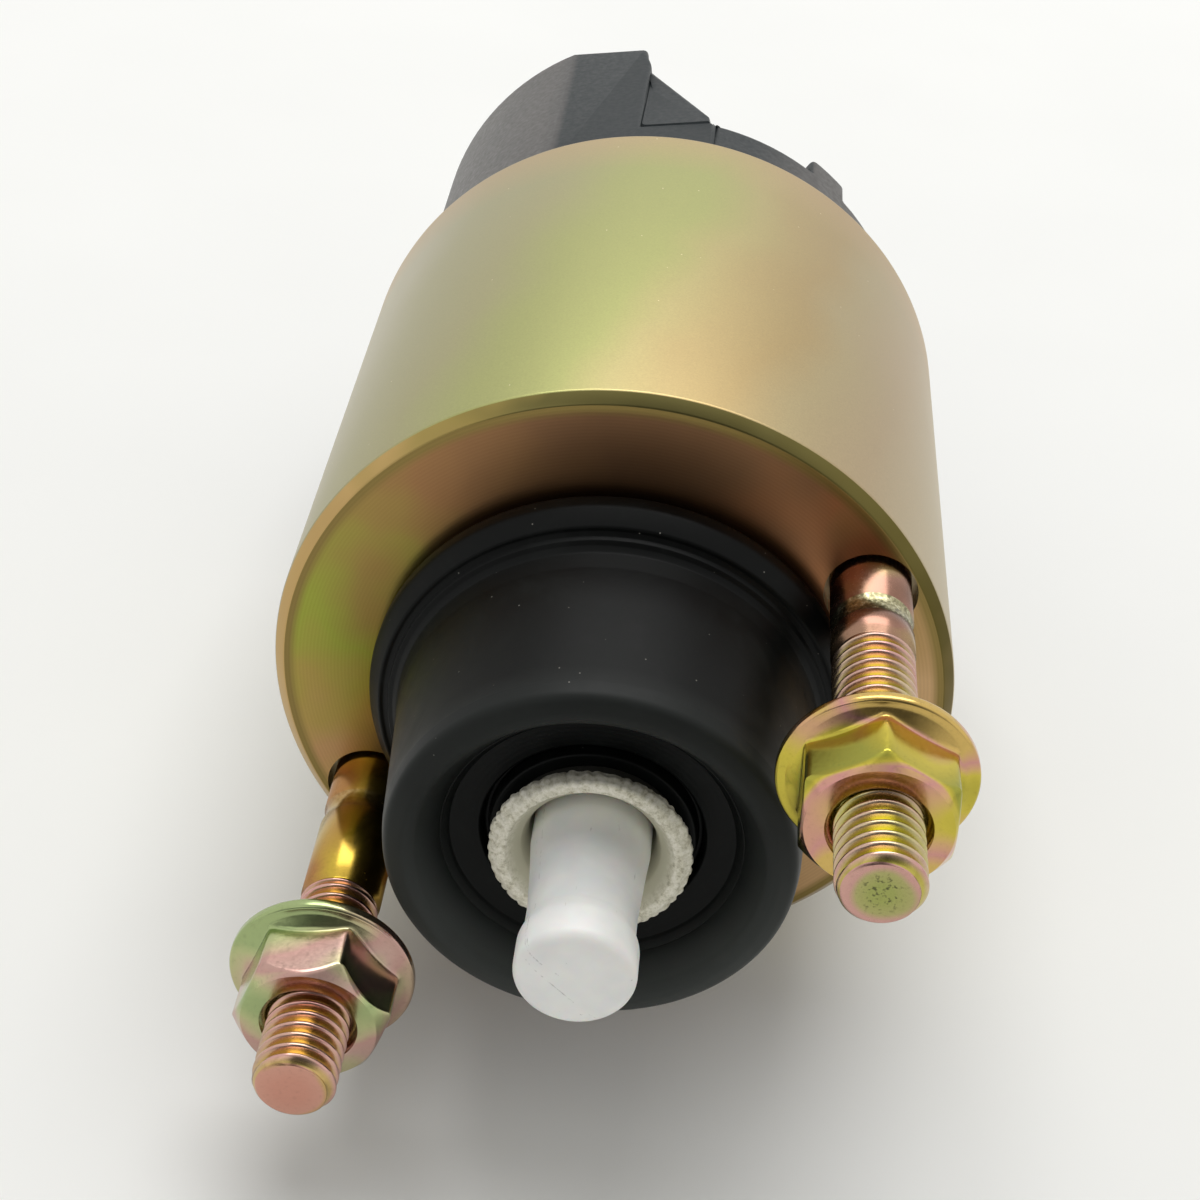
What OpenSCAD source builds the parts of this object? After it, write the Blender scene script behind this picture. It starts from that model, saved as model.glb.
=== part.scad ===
// Starter motor solenoid lying on its side.
// The axis runs along Y, the mounting face is at y = 0 and looks toward -Y, +Z is up.
// Every turned piece is drawn as a half section: x is the radius, y is the place along the axis.

/* [Housing] */
// outside diameter of the steel can
can_d = 52; // [49:0.5:60]
// length of the can from mounting face to crimped end
can_l = 47; // [44:0.5:60]
// side wall of the can
can_wall = 2.8; // [2.2:0.1:3.2]
// thickness of the front wall
face_t = 5; // [4:0.5:7]
// bevel round the mounting face
face_bevel = 0.8; // [0.3:0.1:1.5]
// thickness of the rolled lip that holds the cap
lip_t = 0.9; // [0.6:0.1:1.4]
// wall left outside the cap flange
crimp_wall = 1.3; // [1:0.1:1.8]

/* [Mounting studs] */
// distance between the two stud centres
stud_spacing = 43.3; // [41.6:0.1:44]
// tilt of the line through both studs, seen from the front
stud_tilt = 33.9; // [0:0.1:60]
// major diameter of the mounting thread
stud_d = 5.9; // [5.6:0.1:6.4]
// how far the studs stand out of the mounting face
stud_out = 32.5; // [30:0.5:45]
// plain length between the face and the thread of the right stud
right_plain = 8.4; // [7.5:0.1:16]
// plain length between the face and the thread of the left stud
left_plain = 13.9; // [7.5:0.1:18]
// width of the open ring round each stud in the face
stud_gap = 0.45; // [0.2:0.05:0.6]
// depth of that ring
stud_gap_depth = 1.6; // [0.8:0.1:3]
// start of the neck band on each stud
neck_at = 3.9; // [2:0.1:5]
// length of the neck band
neck_l = 2.2; // [1:0.1:2.8]

/* [Flange nuts] */
// width across the flats
nut_af = 10; // [9:0.5:11]
// height from flange face to end
nut_h = 6; // [5:0.1:8]
// diameter of the flange
nut_flange_d = 13.4; // [12.6:0.1:15]
// thickness of the flange at its edge
nut_edge = 0.9; // [0.6:0.1:1.4]
// distance of the flange face from the mounting face
nut_at = 20.6; // [19:0.1:24]
// turn of the right nut
nut_turn_right = 34; // [0:1:59]
// turn of the left nut
nut_turn_left = 10; // [0:1:59]

/* [Rubber boot] */
// largest diameter of the beaded rim
boot_rim_d = 36.5; // [36.1:0.1:37]
// section radius of the rim bead
boot_bead_r = 1.75; // [1.4:0.05:2]
// diameter of the cup at its front
boot_cup_d = 29.3; // [28.6:0.1:30]
// widening of the cup wall toward its foot
boot_taper = 0.9; // [0.3:0.1:1.2]
// how far the cup stands out of the face
boot_out = 20; // [19:0.1:21]
// wall of the cup
boot_wall = 1.7; // [1.2:0.1:2]
// rounding of the cup shoulder
boot_shoulder = 1.85; // [1:0.05:2.2]
// radius of the fine groove in the front of the cup
boot_groove_r = 10.3; // [10:0.1:10.8]
// radius of the recess round the collar
boot_recess_r = 7.8; // [7.6:0.05:8.4]
// depth of the recess from the crown of the cup
boot_recess_depth = 4.8; // [4.4:0.1:5.2]
// thickness of the lip that grips the plunger neck
boot_lip_t = 2; // [1.2:0.1:2.4]
// depth of the tongue in the face groove
boot_tongue = 1.9; // [1:0.1:2.5]
// width of the tongue
boot_tongue_w = 1.8; // [1.2:0.1:2.4]
// inside radius of the tongue
boot_tongue_r = 12.3; // [11.8:0.1:12.8]

/* [Collar and push rod] */
// outside diameter of the ribbed collar
collar_d = 14.3; // [14:0.1:15]
// mouth of the collar
collar_mouth_d = 10.8; // [10:0.1:10.9]
// flange thickness of the collar
collar_t = 2.4; // [2:0.1:3]
// ribs round the collar
collar_ribs = 46; // [30:1:60]
// depth of the ribs
collar_rib = 0.16; // [0.05:0.01:0.3]
// diameter of the push rod shank
rod_d = 8.4; // [7.6:0.1:8.7]
// diameter of the waist in front of the collar
rod_waist_d = 7.6; // [6.8:0.1:8]
// diameter of the rod head
rod_head_d = 8.24; // [7.8:0.02:8.6]
// how far the rod stands out of the mounting face
rod_out = 31.4; // [30:0.1:36]
// travel of the rod into the plunger
rod_travel = 3.5; // [1:0.1:5]

/* [Plunger] */
// diameter of the plunger
plunger_d = 17.9; // [17:0.1:18.6]
// how far the plunger neck stands out of the face
plunger_out = 16.4; // [16:0.1:17]
// how deep the plunger reaches into the coil at rest
plunger_in = 20; // [18:0.5:22]
// length of the reduced neck
neck_length = 5.4; // [5:0.1:7]
// diameter of the reduced neck
plunger_neck_d = 13.2; // [12.6:0.1:13.4]
// bore for the push rod
plunger_bore_d = 11; // [10.9:0.05:11.4]
// magnet stroke of the plunger
plunger_travel = 9; // [6:0.1:10]
// wall of the brass tube
sleeve_wall = 0.5; // [0.4:0.05:0.8]

/* [Coil] */
// wall of the bobbin tube
bobbin_wall = 1; // [0.8:0.1:1.4]
// thickness of the bobbin flanges
bobbin_flange = 1.2; // [1:0.1:2]
// build of the pull-in winding
pull_build = 4.5; // [3:0.1:5]
// build of the hold-in winding
hold_build = 4.3; // [3:0.1:5]
// thickness of the wrap over the windings
wrap_t = 0.35; // [0.2:0.05:0.6]
// thickness of the core plate
core_t = 5; // [4:0.5:6]
// depth of the spring pockets in core and plunger
pocket_core = 4; // [3:0.1:4.5]
// depth of the spring pocket in the plunger
pocket_plunger = 7; // [6:0.1:8]

/* [Contacts] */
// diameter of the contact rod
crod_d = 5.1; // [4.4:0.1:5.6]
// diameter of the moving contact disc
disc_d = 21; // [19:0.1:23]
// thickness of the moving contact disc
disc_t = 1.8; // [1.2:0.1:2.4]
// travel of the contact disc per millimetre of plunger travel
contact_ratio = 0.25; // [0.2:0.01:0.25]
// distance of each terminal from the axis
terminal_off = 11; // [10.6:0.1:11.6]
// diameter of the terminal threads
terminal_d = 7.9; // [6:0.1:8]
// width across the flats of the terminal nuts
terminal_af = 13; // [12:0.5:14]
// height of the terminal nuts
terminal_nut_h = 6; // [5:0.1:7]
// how far the terminal studs pass the last nut
terminal_tail = 4; // [2:0.5:8]
// how much smaller in radius the plain end of each terminal stud is
dog_ease = 0.25; // [0.2:0.05:0.6]

/* [Springs] */
// wire of the plunger return spring
return_wire_d = 1.2; // [1:0.1:1.4]
// wire of the push rod spring
drive_wire_d = 1; // [0.8:0.1:1.2]
// wire of the contact pressure spring
contact_wire_d = 0.5; // [0.4:0.05:0.6]
// wire of the contact return spring
reset_wire_d = 0.8; // [0.6:0.05:0.9]

/* [Cap] */
// diameter of the cap body
cap_d = 46.8; // [45:0.1:47]
// thickness of the crimped cap flange
cap_flange_t = 5; // [4:0.1:6]
// distance of the low deck of the cap beyond the can
cap_deck = 10; // [9:0.1:13]
// height of the guard wall above the low deck
guard_h = 20; // [18:0.5:26]
// thickness of the guard wall
guard_t = 3; // [2:0.1:3.4]
// depth of the flat on the guard wall
guard_flat = 1.2; // [0.6:0.1:1.8]
// turn of that flat away from the top
flat_turn = 11.3; // [0:0.1:25]
// width of the raised half of the flat
flat_land = 0.6; // [0:0.1:3]
// height of the lug above the low deck
lug_h = 2.6; // [1:0.1:4]
// thickness of the lug
lug_t = 3.6; // [2:0.1:4.4]
// angle round the cap where the lug starts
lug_from = 47.5; // [40:0.5:52]
// angle round the cap where the lug ends
lug_to = 58; // [54:0.5:70]
// thickness of the sealing ring under the cap
gasket_t = 1.6; // [1:0.1:2.2]
// radius of the contact chamber
chamber_r = 18.5; // [18.2:0.1:19]
// width of the spade terminal
spade_w = 6.3; // [4.8:0.1:6.3]

/* [Hidden] */

$fn = 96;
eps = 0.01;
slide = 0.05;
press = 0.02;
loose = 0.25;

can_r = can_d / 2;
bore_r = can_r - can_wall;
seat_r = can_r - crimp_wall;
flange_r = seat_r - 0.1;
boot_seat = 0.1;
seat_y = can_l - lip_t - cap_flange_t - gasket_t;
core_y = seat_y - core_t;
cap_r = cap_d / 2;
deck_y = can_l + cap_deck;

stud_r = stud_d / 2;
stud_x = stud_spacing / 2 * cos(stud_tilt);
stud_z = stud_spacing / 2 * sin(stud_tilt);
shank_r = stud_r + 0.05;
thread_ease = 0.05;
nut_bore_r = stud_r + press;
nut_corner_r = nut_af / sqrt(3);

plunger_r = plunger_d / 2;
sleeve_in_r = plunger_r + slide;
sleeve_out_r = sleeve_in_r + sleeve_wall;
bobbin_in_r = sleeve_out_r + slide;
bobbin_tube_r = bobbin_in_r + bobbin_wall;
bobbin_rim_r = bore_r - 0.4;
pull_r = bobbin_tube_r + pull_build;
hold_r = pull_r + hold_build;
stroke_gap = 0.2;
core_face_y = plunger_in + plunger_travel + stroke_gap;
sleeve_end_y = core_y - 1.5;
pocket_r = crod_d / 2 + 2.75;

collar_front_y = -(plunger_out + collar_t);
neck_r = plunger_neck_d / 2;
plunger_bore_r = plunger_bore_d / 2;
rod_r = rod_d / 2;
rod_flange_t = 2.5;
spigot_l = 4;
rod_flange_y = -plunger_out + spigot_l + 0.1;
rod_seat_y = plunger_in - pocket_plunger - 7;

push_gap = plunger_travel * (1 - contact_ratio);
contact_travel = plunger_travel * contact_ratio;
crod_r = crod_d / 2;
crod_start_y = plunger_in - pocket_plunger + push_gap + 0.05;
crod_collar_y = seat_y + 0.1;
crod_collar_t = 1;
cspring_l = 2.4;
insulator_y = crod_collar_y + crod_collar_t + cspring_l;
insulator_t = 1.2;
insulator_r = 4.6;
hub_r = crod_r + 0.85;
disc_y = insulator_y + insulator_t;
upper_y = disc_y + disc_t;
clip_y = upper_y + insulator_t;
clip_t = 0.8;
clip_groove_r = crod_r - 0.45;
crod_end_y = clip_y + clip_t + 1.4;
head_y = disc_y + disc_t + contact_travel + 0.05;
head_t = 3;
floor_y = head_y + head_t;
roof_y = floor_y + 3.6;
head_r = 5.5;

pad_h = 1.2;
pad_y = deck_y + pad_h;
washer_t = 1.6;
lock_t = 2;
washer_r = 8;
base_nut_y = pad_y + washer_t;
lock_y = base_nut_y + terminal_nut_h;
top_nut_y = lock_y + lock_t;
terminal_end_y = top_nut_y + terminal_nut_h + terminal_tail;
terminal_r = terminal_d / 2;
terminal_tail_y = terminal_end_y - terminal_tail + 0.1;

spade_at = [8.2, -13.8];
spade_t = 0.8;
spade_l = 13;
rivet_r = 1.5;
rivet_tail = 1;
lead_r = 0.5;
lead_motor_at = [terminal_off + head_r + lead_r + 0.05, 0];
lead_start_y = core_y - bobbin_flange;

// turns a half section about the Y axis
module lathe() {
  rotate([-90, 0, 0]) rotate_extrude() children();
}

// a round bar along Y
module bar(r, y0, y1) {
  translate([0, y0, 0]) rotate([-90, 0, 0]) cylinder(r = r, h = y1 - y0);
}

// a straight prism of a flat outline drawn in x and z
module slab(y0, y1) {
  translate([0, y1, 0]) rotate([90, 0, 0]) linear_extrude(height = y1 - y0) children();
}

// places a piece at both mounting studs
module at_right() {
  translate([stud_x, 0, stud_z]) children();
}

module at_left() {
  translate([-stud_x, 0, -stud_z]) children();
}

function rect(r0, r1, y0, y1) = [[r0, y0], [r1, y0], [r1, y1], [r0, y1]];

// points of one ring of a helical wire
function ring_at(a, r, w, y, n) =
  [for (k = [0:n - 1]) let (b = 360 * k / n)
    [(r + w * cos(b)) * cos(a), y + w * sin(b), (r + w * cos(b)) * sin(a)]];

// closed end compression spring as one swept wire
module spring(r, w, y0, y1, turns) {
  steps = 20;
  sides = 8;
  count = round(turns * steps);
  lead = 1 / turns;
  ease = function (t) t < lead ? 0.45 * t * t / lead : t > 1 - lead ? 1 - 0.45 * (1 - t) * (1 - t) / lead :
    0.45 * lead + (t - lead) * (1 - 0.9 * lead) / (1 - 2 * lead);
  points = [for (i = [0:count]) each ring_at(360 * i / steps, r, w, y0 + w + ease(i / count) * (y1 - y0 - 2 * w), sides)];
  skin = [for (i = [0:count - 1], k = [0:sides - 1])
    [i * sides + k, i * sides + (k + 1) % sides, (i + 1) * sides + (k + 1) % sides, (i + 1) * sides + k]];
  first = [[for (k = [0:sides - 1]) sides - 1 - k]];
  last = [[for (k = [0:sides - 1]) count * sides + k]];
  polyhedron(points, concat(skin, first, last), convexity = 6);
}

// hexagon nut with a bevelled end, flat face at y0, growing toward +Y
module hex_nut(af, h, bore, y0) {
  corner = af / sqrt(3);
  bevel = (corner - af / 2 * 0.96) * tan(30);
  difference() {
    intersection() {
      translate([0, y0, 0]) rotate([-90, 0, 0]) cylinder(r = corner, h = h, $fn = 6);
      lathe() polygon([[0, y0], [af / 2 * 0.96, y0], [corner + eps, y0 + bevel], [corner + eps, y0 + h - bevel],
                       [af / 2 * 0.96, y0 + h], [0, y0 + h]]);
    }
    bar(bore, y0 - 1, y0 + h + 1);
    lathe() polygon([[0, y0 - eps], [bore + 0.4, y0 - eps], [bore - eps, y0 + 0.4], [0, y0 + 0.4]]);
    lathe() polygon([[0, y0 + h + eps], [bore + 0.4, y0 + h + eps], [bore - eps, y0 + h - 0.4], [0, y0 + h - 0.4]]);
  }
}

// half section of the deep drawn can with its front wall and rolled lip
module can_section() {
  difference() {
    polygon([[0, 0], [can_r - face_bevel, 0], [can_r, face_bevel], [can_r, can_l - 1.1], [can_r - 0.35, can_l - 0.35],
             [can_r - 1.1, can_l], [cap_r + 0.2, can_l], [cap_r + 0.2, can_l - lip_t], [0, can_l - lip_t]]);
    polygon(rect(-1, bore_r, face_t, seat_y + eps));
    polygon(rect(-1, seat_r, seat_y, can_l - lip_t + eps));
    polygon(rect(-1, bobbin_in_r, -1, face_t + 1));
    polygon(rect(-1, boot_rim_d / 2 + 0.15, -1, boot_seat));
    polygon(rect(-1, boot_tongue_r - 0.1, -1, boot_seat + 0.2));
    polygon(rect(boot_tongue_r - 0.1, boot_tongue_r + boot_tongue_w + 0.1, -1, boot_tongue + 0.1));
  }
}

module housing() {
  color([0.72, 0.64, 0.42])
  difference() {
    lathe() can_section();
    at_right() stud_hole();
    at_left() stud_hole();
  }
}

module stud_hole() {
  bar(shank_r + press, -1, face_t + 1);
  bar(shank_r + stud_gap, -1, stud_gap_depth);
}

// half section of one mounting stud, end face toward -Y
module stud(plain) {
  end = 0.5;
  tail = nut_at + nut_h + 0.3;
  tail_r = stud_r - thread_ease;
  color([0.74, 0.66, 0.40])
  lathe() difference() {
    polygon([[0, face_t], [shank_r, face_t], [shank_r, -neck_at], [shank_r - 0.2, -neck_at - 0.35],
             [shank_r - 0.2, -neck_at - neck_l + 0.35], [shank_r, -neck_at - neck_l], [shank_r, -plain],
             [stud_r, -plain - 0.05], [stud_r, -tail], [tail_r, -tail], [tail_r, -stud_out + end],
             [tail_r - end, -stud_out], [0, -stud_out]]);
    polygon([[stud_r + 1, -plain - 0.1], [stud_r - 0.25, -plain - 0.35], [stud_r - 0.25, -plain - 0.55],
             [stud_r + 1, -plain - 0.8]]);
  }
}

module stud_right() {
  at_right() stud(right_plain);
}

module stud_left() {
  at_left() stud(left_plain);
}

// flange nut with its flange toward the mounting face
module flange_nut() {
  back = -nut_at;
  front = -nut_at - nut_h;
  rim_r = nut_flange_d / 2;
  edge_y = back - nut_edge;
  flat_r = nut_af / 2 * 0.95;
  color([0.78, 0.68, 0.38])
  difference() {
    union() {
      intersection() {
        translate([0, front - 1, 0]) rotate([-90, 0, 0])
          cylinder(r = nut_corner_r, h = nut_h + 0.5, $fn = 6);
        lathe() polygon([[0, back], [nut_corner_r + 1, back], [nut_corner_r + 1, front + 1.15],
                         [nut_corner_r, front + 0.55], [flat_r, front], [0, front]]);
      }
      lathe() polygon([[0, back], [rim_r - 0.25, back], [rim_r, back - 0.25], [rim_r, edge_y + 0.3],
                       [rim_r - 0.3, edge_y], [nut_af / 2 - 0.4, edge_y - 0.75], [0, edge_y - 0.75]]);
    }
    bar(nut_bore_r, front - 1, back + 1);
    lathe() polygon([[0, front - eps], [nut_bore_r + 0.45, front - eps], [nut_bore_r - eps, front + 0.6], [0, front + 0.6]]);
  }
}

module nut_right() {
  at_right() rotate([0, -nut_turn_right, 0]) flange_nut();
}

module nut_left() {
  at_left() rotate([0, -nut_turn_left, 0]) flange_nut();
}

// rubber boot: beaded rim on the face, stiff cup, soft front with a lip round the plunger neck
module boot() {
  cup_r = boot_cup_d / 2;
  foot_r = cup_r + boot_taper;
  bead_x = boot_rim_d / 2 - boot_bead_r;
  bead_y = -boot_bead_r - 0.1;
  step_y = bead_y - boot_bead_r;
  crown_y = -boot_out;
  sh_x = cup_r - boot_shoulder;
  sh_y = crown_y + boot_shoulder;
  lip_y = crown_y + boot_recess_depth;
  lip_r = neck_r + loose;
  ring_y = crown_y + 3.4;
  groove_y = crown_y + 2.6;
  color([0.13, 0.13, 0.14])
  difference() {
    union() {
      lathe() polygon([[boot_tongue_r, boot_tongue], [boot_tongue_r + boot_tongue_w, boot_tongue],
                       [boot_tongue_r + boot_tongue_w, boot_seat], [bead_x + 0.6, boot_seat], [bead_x + 0.6, bead_y],
                       [bead_x, step_y + 0.2], [foot_r + 0.65, step_y - 0.3], [foot_r + 0.3, step_y - 0.9],
                       [foot_r, step_y - 1.9], [cup_r, sh_y], [sh_x, sh_y],
                       [sh_x, crown_y], [sh_x - 0.8, crown_y + 0.15], [boot_groove_r + 0.9, groove_y - 0.55],
                       [boot_groove_r + 0.3, groove_y], [boot_groove_r + 0.2, groove_y + 0.6],
                       [boot_groove_r - 0.2, groove_y + 0.6], [boot_groove_r - 0.4, ring_y],
                       [boot_recess_r + 0.15, ring_y + 0.05], [boot_recess_r, ring_y + 0.2], [boot_recess_r, lip_y],
                       [lip_r, lip_y], [lip_r, lip_y + boot_lip_t], [boot_recess_r + 0.6, lip_y + boot_lip_t - 0.1],
                       [boot_groove_r, ring_y + 2], [cup_r - boot_wall - 1.2, crown_y + boot_shoulder + 1.3],
                       [cup_r - boot_wall, sh_y + 2.2], [cup_r - boot_wall, -4], [boot_tongue_r + 0.2, -1.2],
                       [boot_tongue_r, boot_seat]]);
      lathe() translate([bead_x, bead_y]) circle(r = boot_bead_r);
      lathe() translate([sh_x, sh_y]) circle(r = boot_shoulder + eps);
    }
    lathe() translate([bead_x - 0.2, step_y - 0.05]) circle(r = 0.3);
  }
}

// ribbed collar pressed into the end of the plunger
module collar() {
  mouth_r = collar_mouth_d / 2;
  crest_r = collar_d / 2;
  spigot_r = plunger_bore_r - press;
  guide_r = rod_r + 0.3;
  flat_y = -plunger_out;
  color([0.80, 0.79, 0.72])
  difference() {
    union() {
      intersection() {
        slab(collar_front_y, flat_y) polygon([for (k = [0:2 * collar_ribs - 1])
          (k % 2 == 0 ? crest_r : crest_r - collar_rib) * [cos(180 * k / collar_ribs), sin(180 * k / collar_ribs)]]);
        lathe() polygon([[0, flat_y], [crest_r + eps, flat_y], [crest_r + eps, collar_front_y + 0.55],
                         [crest_r - 0.45, collar_front_y], [0, collar_front_y]]);
      }
      bar(spigot_r, flat_y, flat_y + spigot_l);
    }
    lathe() polygon([[0, collar_front_y - 1], [mouth_r + 0.35, collar_front_y - 1], [mouth_r + 0.35, collar_front_y],
                     [mouth_r, collar_front_y + 0.35], [mouth_r - 0.1, flat_y - 0.9], [guide_r, flat_y - 0.2],
                     [guide_r, flat_y + spigot_l + 1], [0, flat_y + spigot_l + 1]]);
  }
}

// moulded push rod with waist and flat rounded head
module push_rod() {
  head_r2 = rod_head_d / 2;
  waist_r = rod_waist_d / 2;
  tip_y = -rod_out;
  round_r = 0.6;
  color([0.92, 0.92, 0.90])
  union() {
    lathe() polygon([[0, rod_flange_y + rod_flange_t], [plunger_bore_r - 0.1, rod_flange_y + rod_flange_t],
                     [plunger_bore_r - 0.1, rod_flange_y], [rod_r, rod_flange_y], [rod_r, collar_front_y - 0.6],
                     [waist_r + 0.06, collar_front_y - 2.6], [waist_r, collar_front_y - 3.2],
                     [waist_r - 0.02, tip_y + 6], [waist_r + 0.08, tip_y + 5.1], [head_r2 - 0.06, tip_y + 3.9],
                     [head_r2, tip_y + 3], [head_r2, tip_y + round_r], [head_r2 - round_r, tip_y + round_r],
                     [head_r2 - round_r, tip_y], [0, tip_y]]);
    lathe() translate([head_r2 - round_r, tip_y + round_r]) circle(r = round_r + eps);
  }
}

module drive_spring() {
  color([0.6, 0.6, 0.62])
  spring(plunger_bore_r - drive_wire_d / 2 - 0.65, drive_wire_d / 2, rod_flange_y + rod_flange_t + 0.02, rod_seat_y - 0.02, 7);
}

module plunger() {
  color([0.68, 0.68, 0.66])
  lathe() difference() {
    polygon([[0, -plunger_out], [neck_r - 0.2, -plunger_out], [neck_r, -plunger_out + 0.2],
             [neck_r, -plunger_out + neck_length - 0.5], [neck_r + 0.5, -plunger_out + neck_length],
             [plunger_r - 0.5, -plunger_out + neck_length], [plunger_r, -plunger_out + neck_length + 0.5],
             [plunger_r, plunger_in - 0.4], [plunger_r - 0.4, plunger_in], [0, plunger_in]]);
    polygon(rect(-1, plunger_bore_r, -plunger_out - 1, rod_seat_y));
    polygon(rect(-1, pocket_r, plunger_in - pocket_plunger, plunger_in + 1));
  }
}

module sleeve() {
  color([0.80, 0.66, 0.32])
  lathe() polygon(rect(sleeve_in_r, sleeve_out_r, 0.6, sleeve_end_y));
}

module return_spring() {
  color([0.6, 0.6, 0.62])
  spring(crod_r + return_wire_d / 2 + 1.2, return_wire_d / 2, plunger_in - pocket_plunger + 0.02, core_face_y + pocket_core - 0.02, 7);
}

module bobbin() {
  lead = lead_r + 0.3;
  color([0.85, 0.80, 0.66])
  difference() {
    lathe() polygon([[bobbin_in_r, face_t], [bobbin_rim_r, face_t], [bobbin_rim_r, face_t + bobbin_flange],
                     [bobbin_tube_r, face_t + bobbin_flange], [bobbin_tube_r, core_y - bobbin_flange],
                     [bobbin_rim_r, core_y - bobbin_flange], [bobbin_rim_r, core_y], [bobbin_in_r, core_y]]);
    translate([spade_at[0], 0, spade_at[1]]) bar(lead, lead_start_y - 0.5, core_y + 1);
    translate([lead_motor_at[0], 0, lead_motor_at[1]]) bar(lead, lead_start_y - 0.5, core_y + 1);
  }
}

// one coil layer between the bobbin flanges
module winding(r0, r1) {
  lathe() polygon(rect(r0 + press, r1, face_t + bobbin_flange + press, core_y - bobbin_flange - press));
}

module pull_winding() {
  color([0.72, 0.40, 0.20]) winding(bobbin_tube_r, pull_r);
}

module hold_winding() {
  color([0.66, 0.34, 0.18]) winding(pull_r, hold_r);
}

module winding_wrap() {
  color([0.86, 0.84, 0.76]) winding(hold_r, hold_r + wrap_t);
}

// steel core plate with a boss that stops the plunger
module core() {
  boss_r = sleeve_in_r - 0.1;
  lead = lead_r + 0.9;
  color([0.66, 0.66, 0.65])
  difference() {
    lathe() difference() {
      polygon([[0, core_face_y], [boss_r - 0.4, core_face_y], [boss_r, core_face_y + 0.4], [boss_r, core_y],
               [bore_r - 0.1, core_y], [bore_r - 0.1, seat_y], [0, seat_y]]);
      polygon(rect(-1, crod_r + slide, core_face_y - 1, seat_y + 1));
      polygon(rect(-1, pocket_r, core_face_y - 1, core_face_y + pocket_core));
    }
    translate([spade_at[0], 0, spade_at[1]]) bar(lead, core_y - 1, seat_y + 1);
    translate([lead_motor_at[0], 0, lead_motor_at[1]]) bar(lead, core_y - 1, seat_y + 1);
  }
}

module contact_rod() {
  color([0.62, 0.62, 0.60])
  lathe() polygon([[0, crod_start_y], [crod_r - 0.4, crod_start_y], [crod_r, crod_start_y + 0.4], [crod_r, crod_collar_y],
                   [crod_r + 1.6, crod_collar_y], [crod_r + 1.6, crod_collar_y + crod_collar_t],
                   [crod_r, crod_collar_y + crod_collar_t], [crod_r, clip_y + eps], [clip_groove_r, clip_y + eps],
                   [clip_groove_r, clip_y + clip_t], [crod_r - 0.2, clip_y + clip_t], [crod_r - 0.2, crod_end_y - 0.4],
                   [crod_r - 0.6, crod_end_y], [0, crod_end_y]]);
}

module contact_spring() {
  color([0.6, 0.6, 0.62])
  spring(crod_r + contact_wire_d / 2 + 0.65, contact_wire_d / 2, crod_collar_y + crod_collar_t + 0.02, insulator_y - 0.02, 2.5);
}

module lower_insulator() {
  color([0.55, 0.30, 0.16])
  lathe() polygon([[crod_r + slide, insulator_y], [insulator_r, insulator_y], [insulator_r, disc_y], [hub_r, disc_y],
                   [hub_r, upper_y], [crod_r + slide, upper_y]]);
}

module contact_disc() {
  color([0.76, 0.45, 0.25])
  lathe() polygon([[hub_r + slide, disc_y], [disc_d / 2 - 0.3, disc_y], [disc_d / 2, disc_y + 0.3],
                   [disc_d / 2, upper_y - 0.3], [disc_d / 2 - 0.3, upper_y], [hub_r + slide, upper_y]]);
}

module upper_insulator() {
  color([0.55, 0.30, 0.16]) lathe() polygon(rect(crod_r + slide, insulator_r, upper_y, clip_y));
}

// open retaining clip in the groove of the contact rod
module contact_clip() {
  color([0.45, 0.45, 0.47])
  difference() {
    lathe() polygon(rect(clip_groove_r + 0.03, crod_r + 1.3, clip_y + press, clip_y + clip_t - press));
    slab(clip_y - 1, clip_y + clip_t + 1) translate([-clip_groove_r * 0.8, 0]) square([clip_groove_r * 1.6, 8]);
  }
}

module contact_return_spring() {
  color([0.6, 0.6, 0.62])
  spring(crod_r + reset_wire_d / 2 + 0.15, reset_wire_d / 2, clip_y + clip_t + 0.02, roof_y - 0.02, 4);
}

module gasket() {
  color([0.16, 0.16, 0.17]) lathe() polygon(rect(chamber_r + 1.5, flange_r, seat_y + eps, seat_y + gasket_t));
}

// outline of the guard wall round the battery terminal, open toward the motor terminal
module guard_plan(r1, r0, a0, a1) {
  difference() {
    circle(r = r1);
    circle(r = r0);
    polygon([[0, 0], 40 * [cos(a1), sin(a1)], 60 * [cos(a1 + 40), sin(a1 + 40)], [60, 0],
             60 * [cos(a0 - 40), sin(a0 - 40)], 40 * [cos(a0), sin(a0)]]);
  }
}

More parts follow.
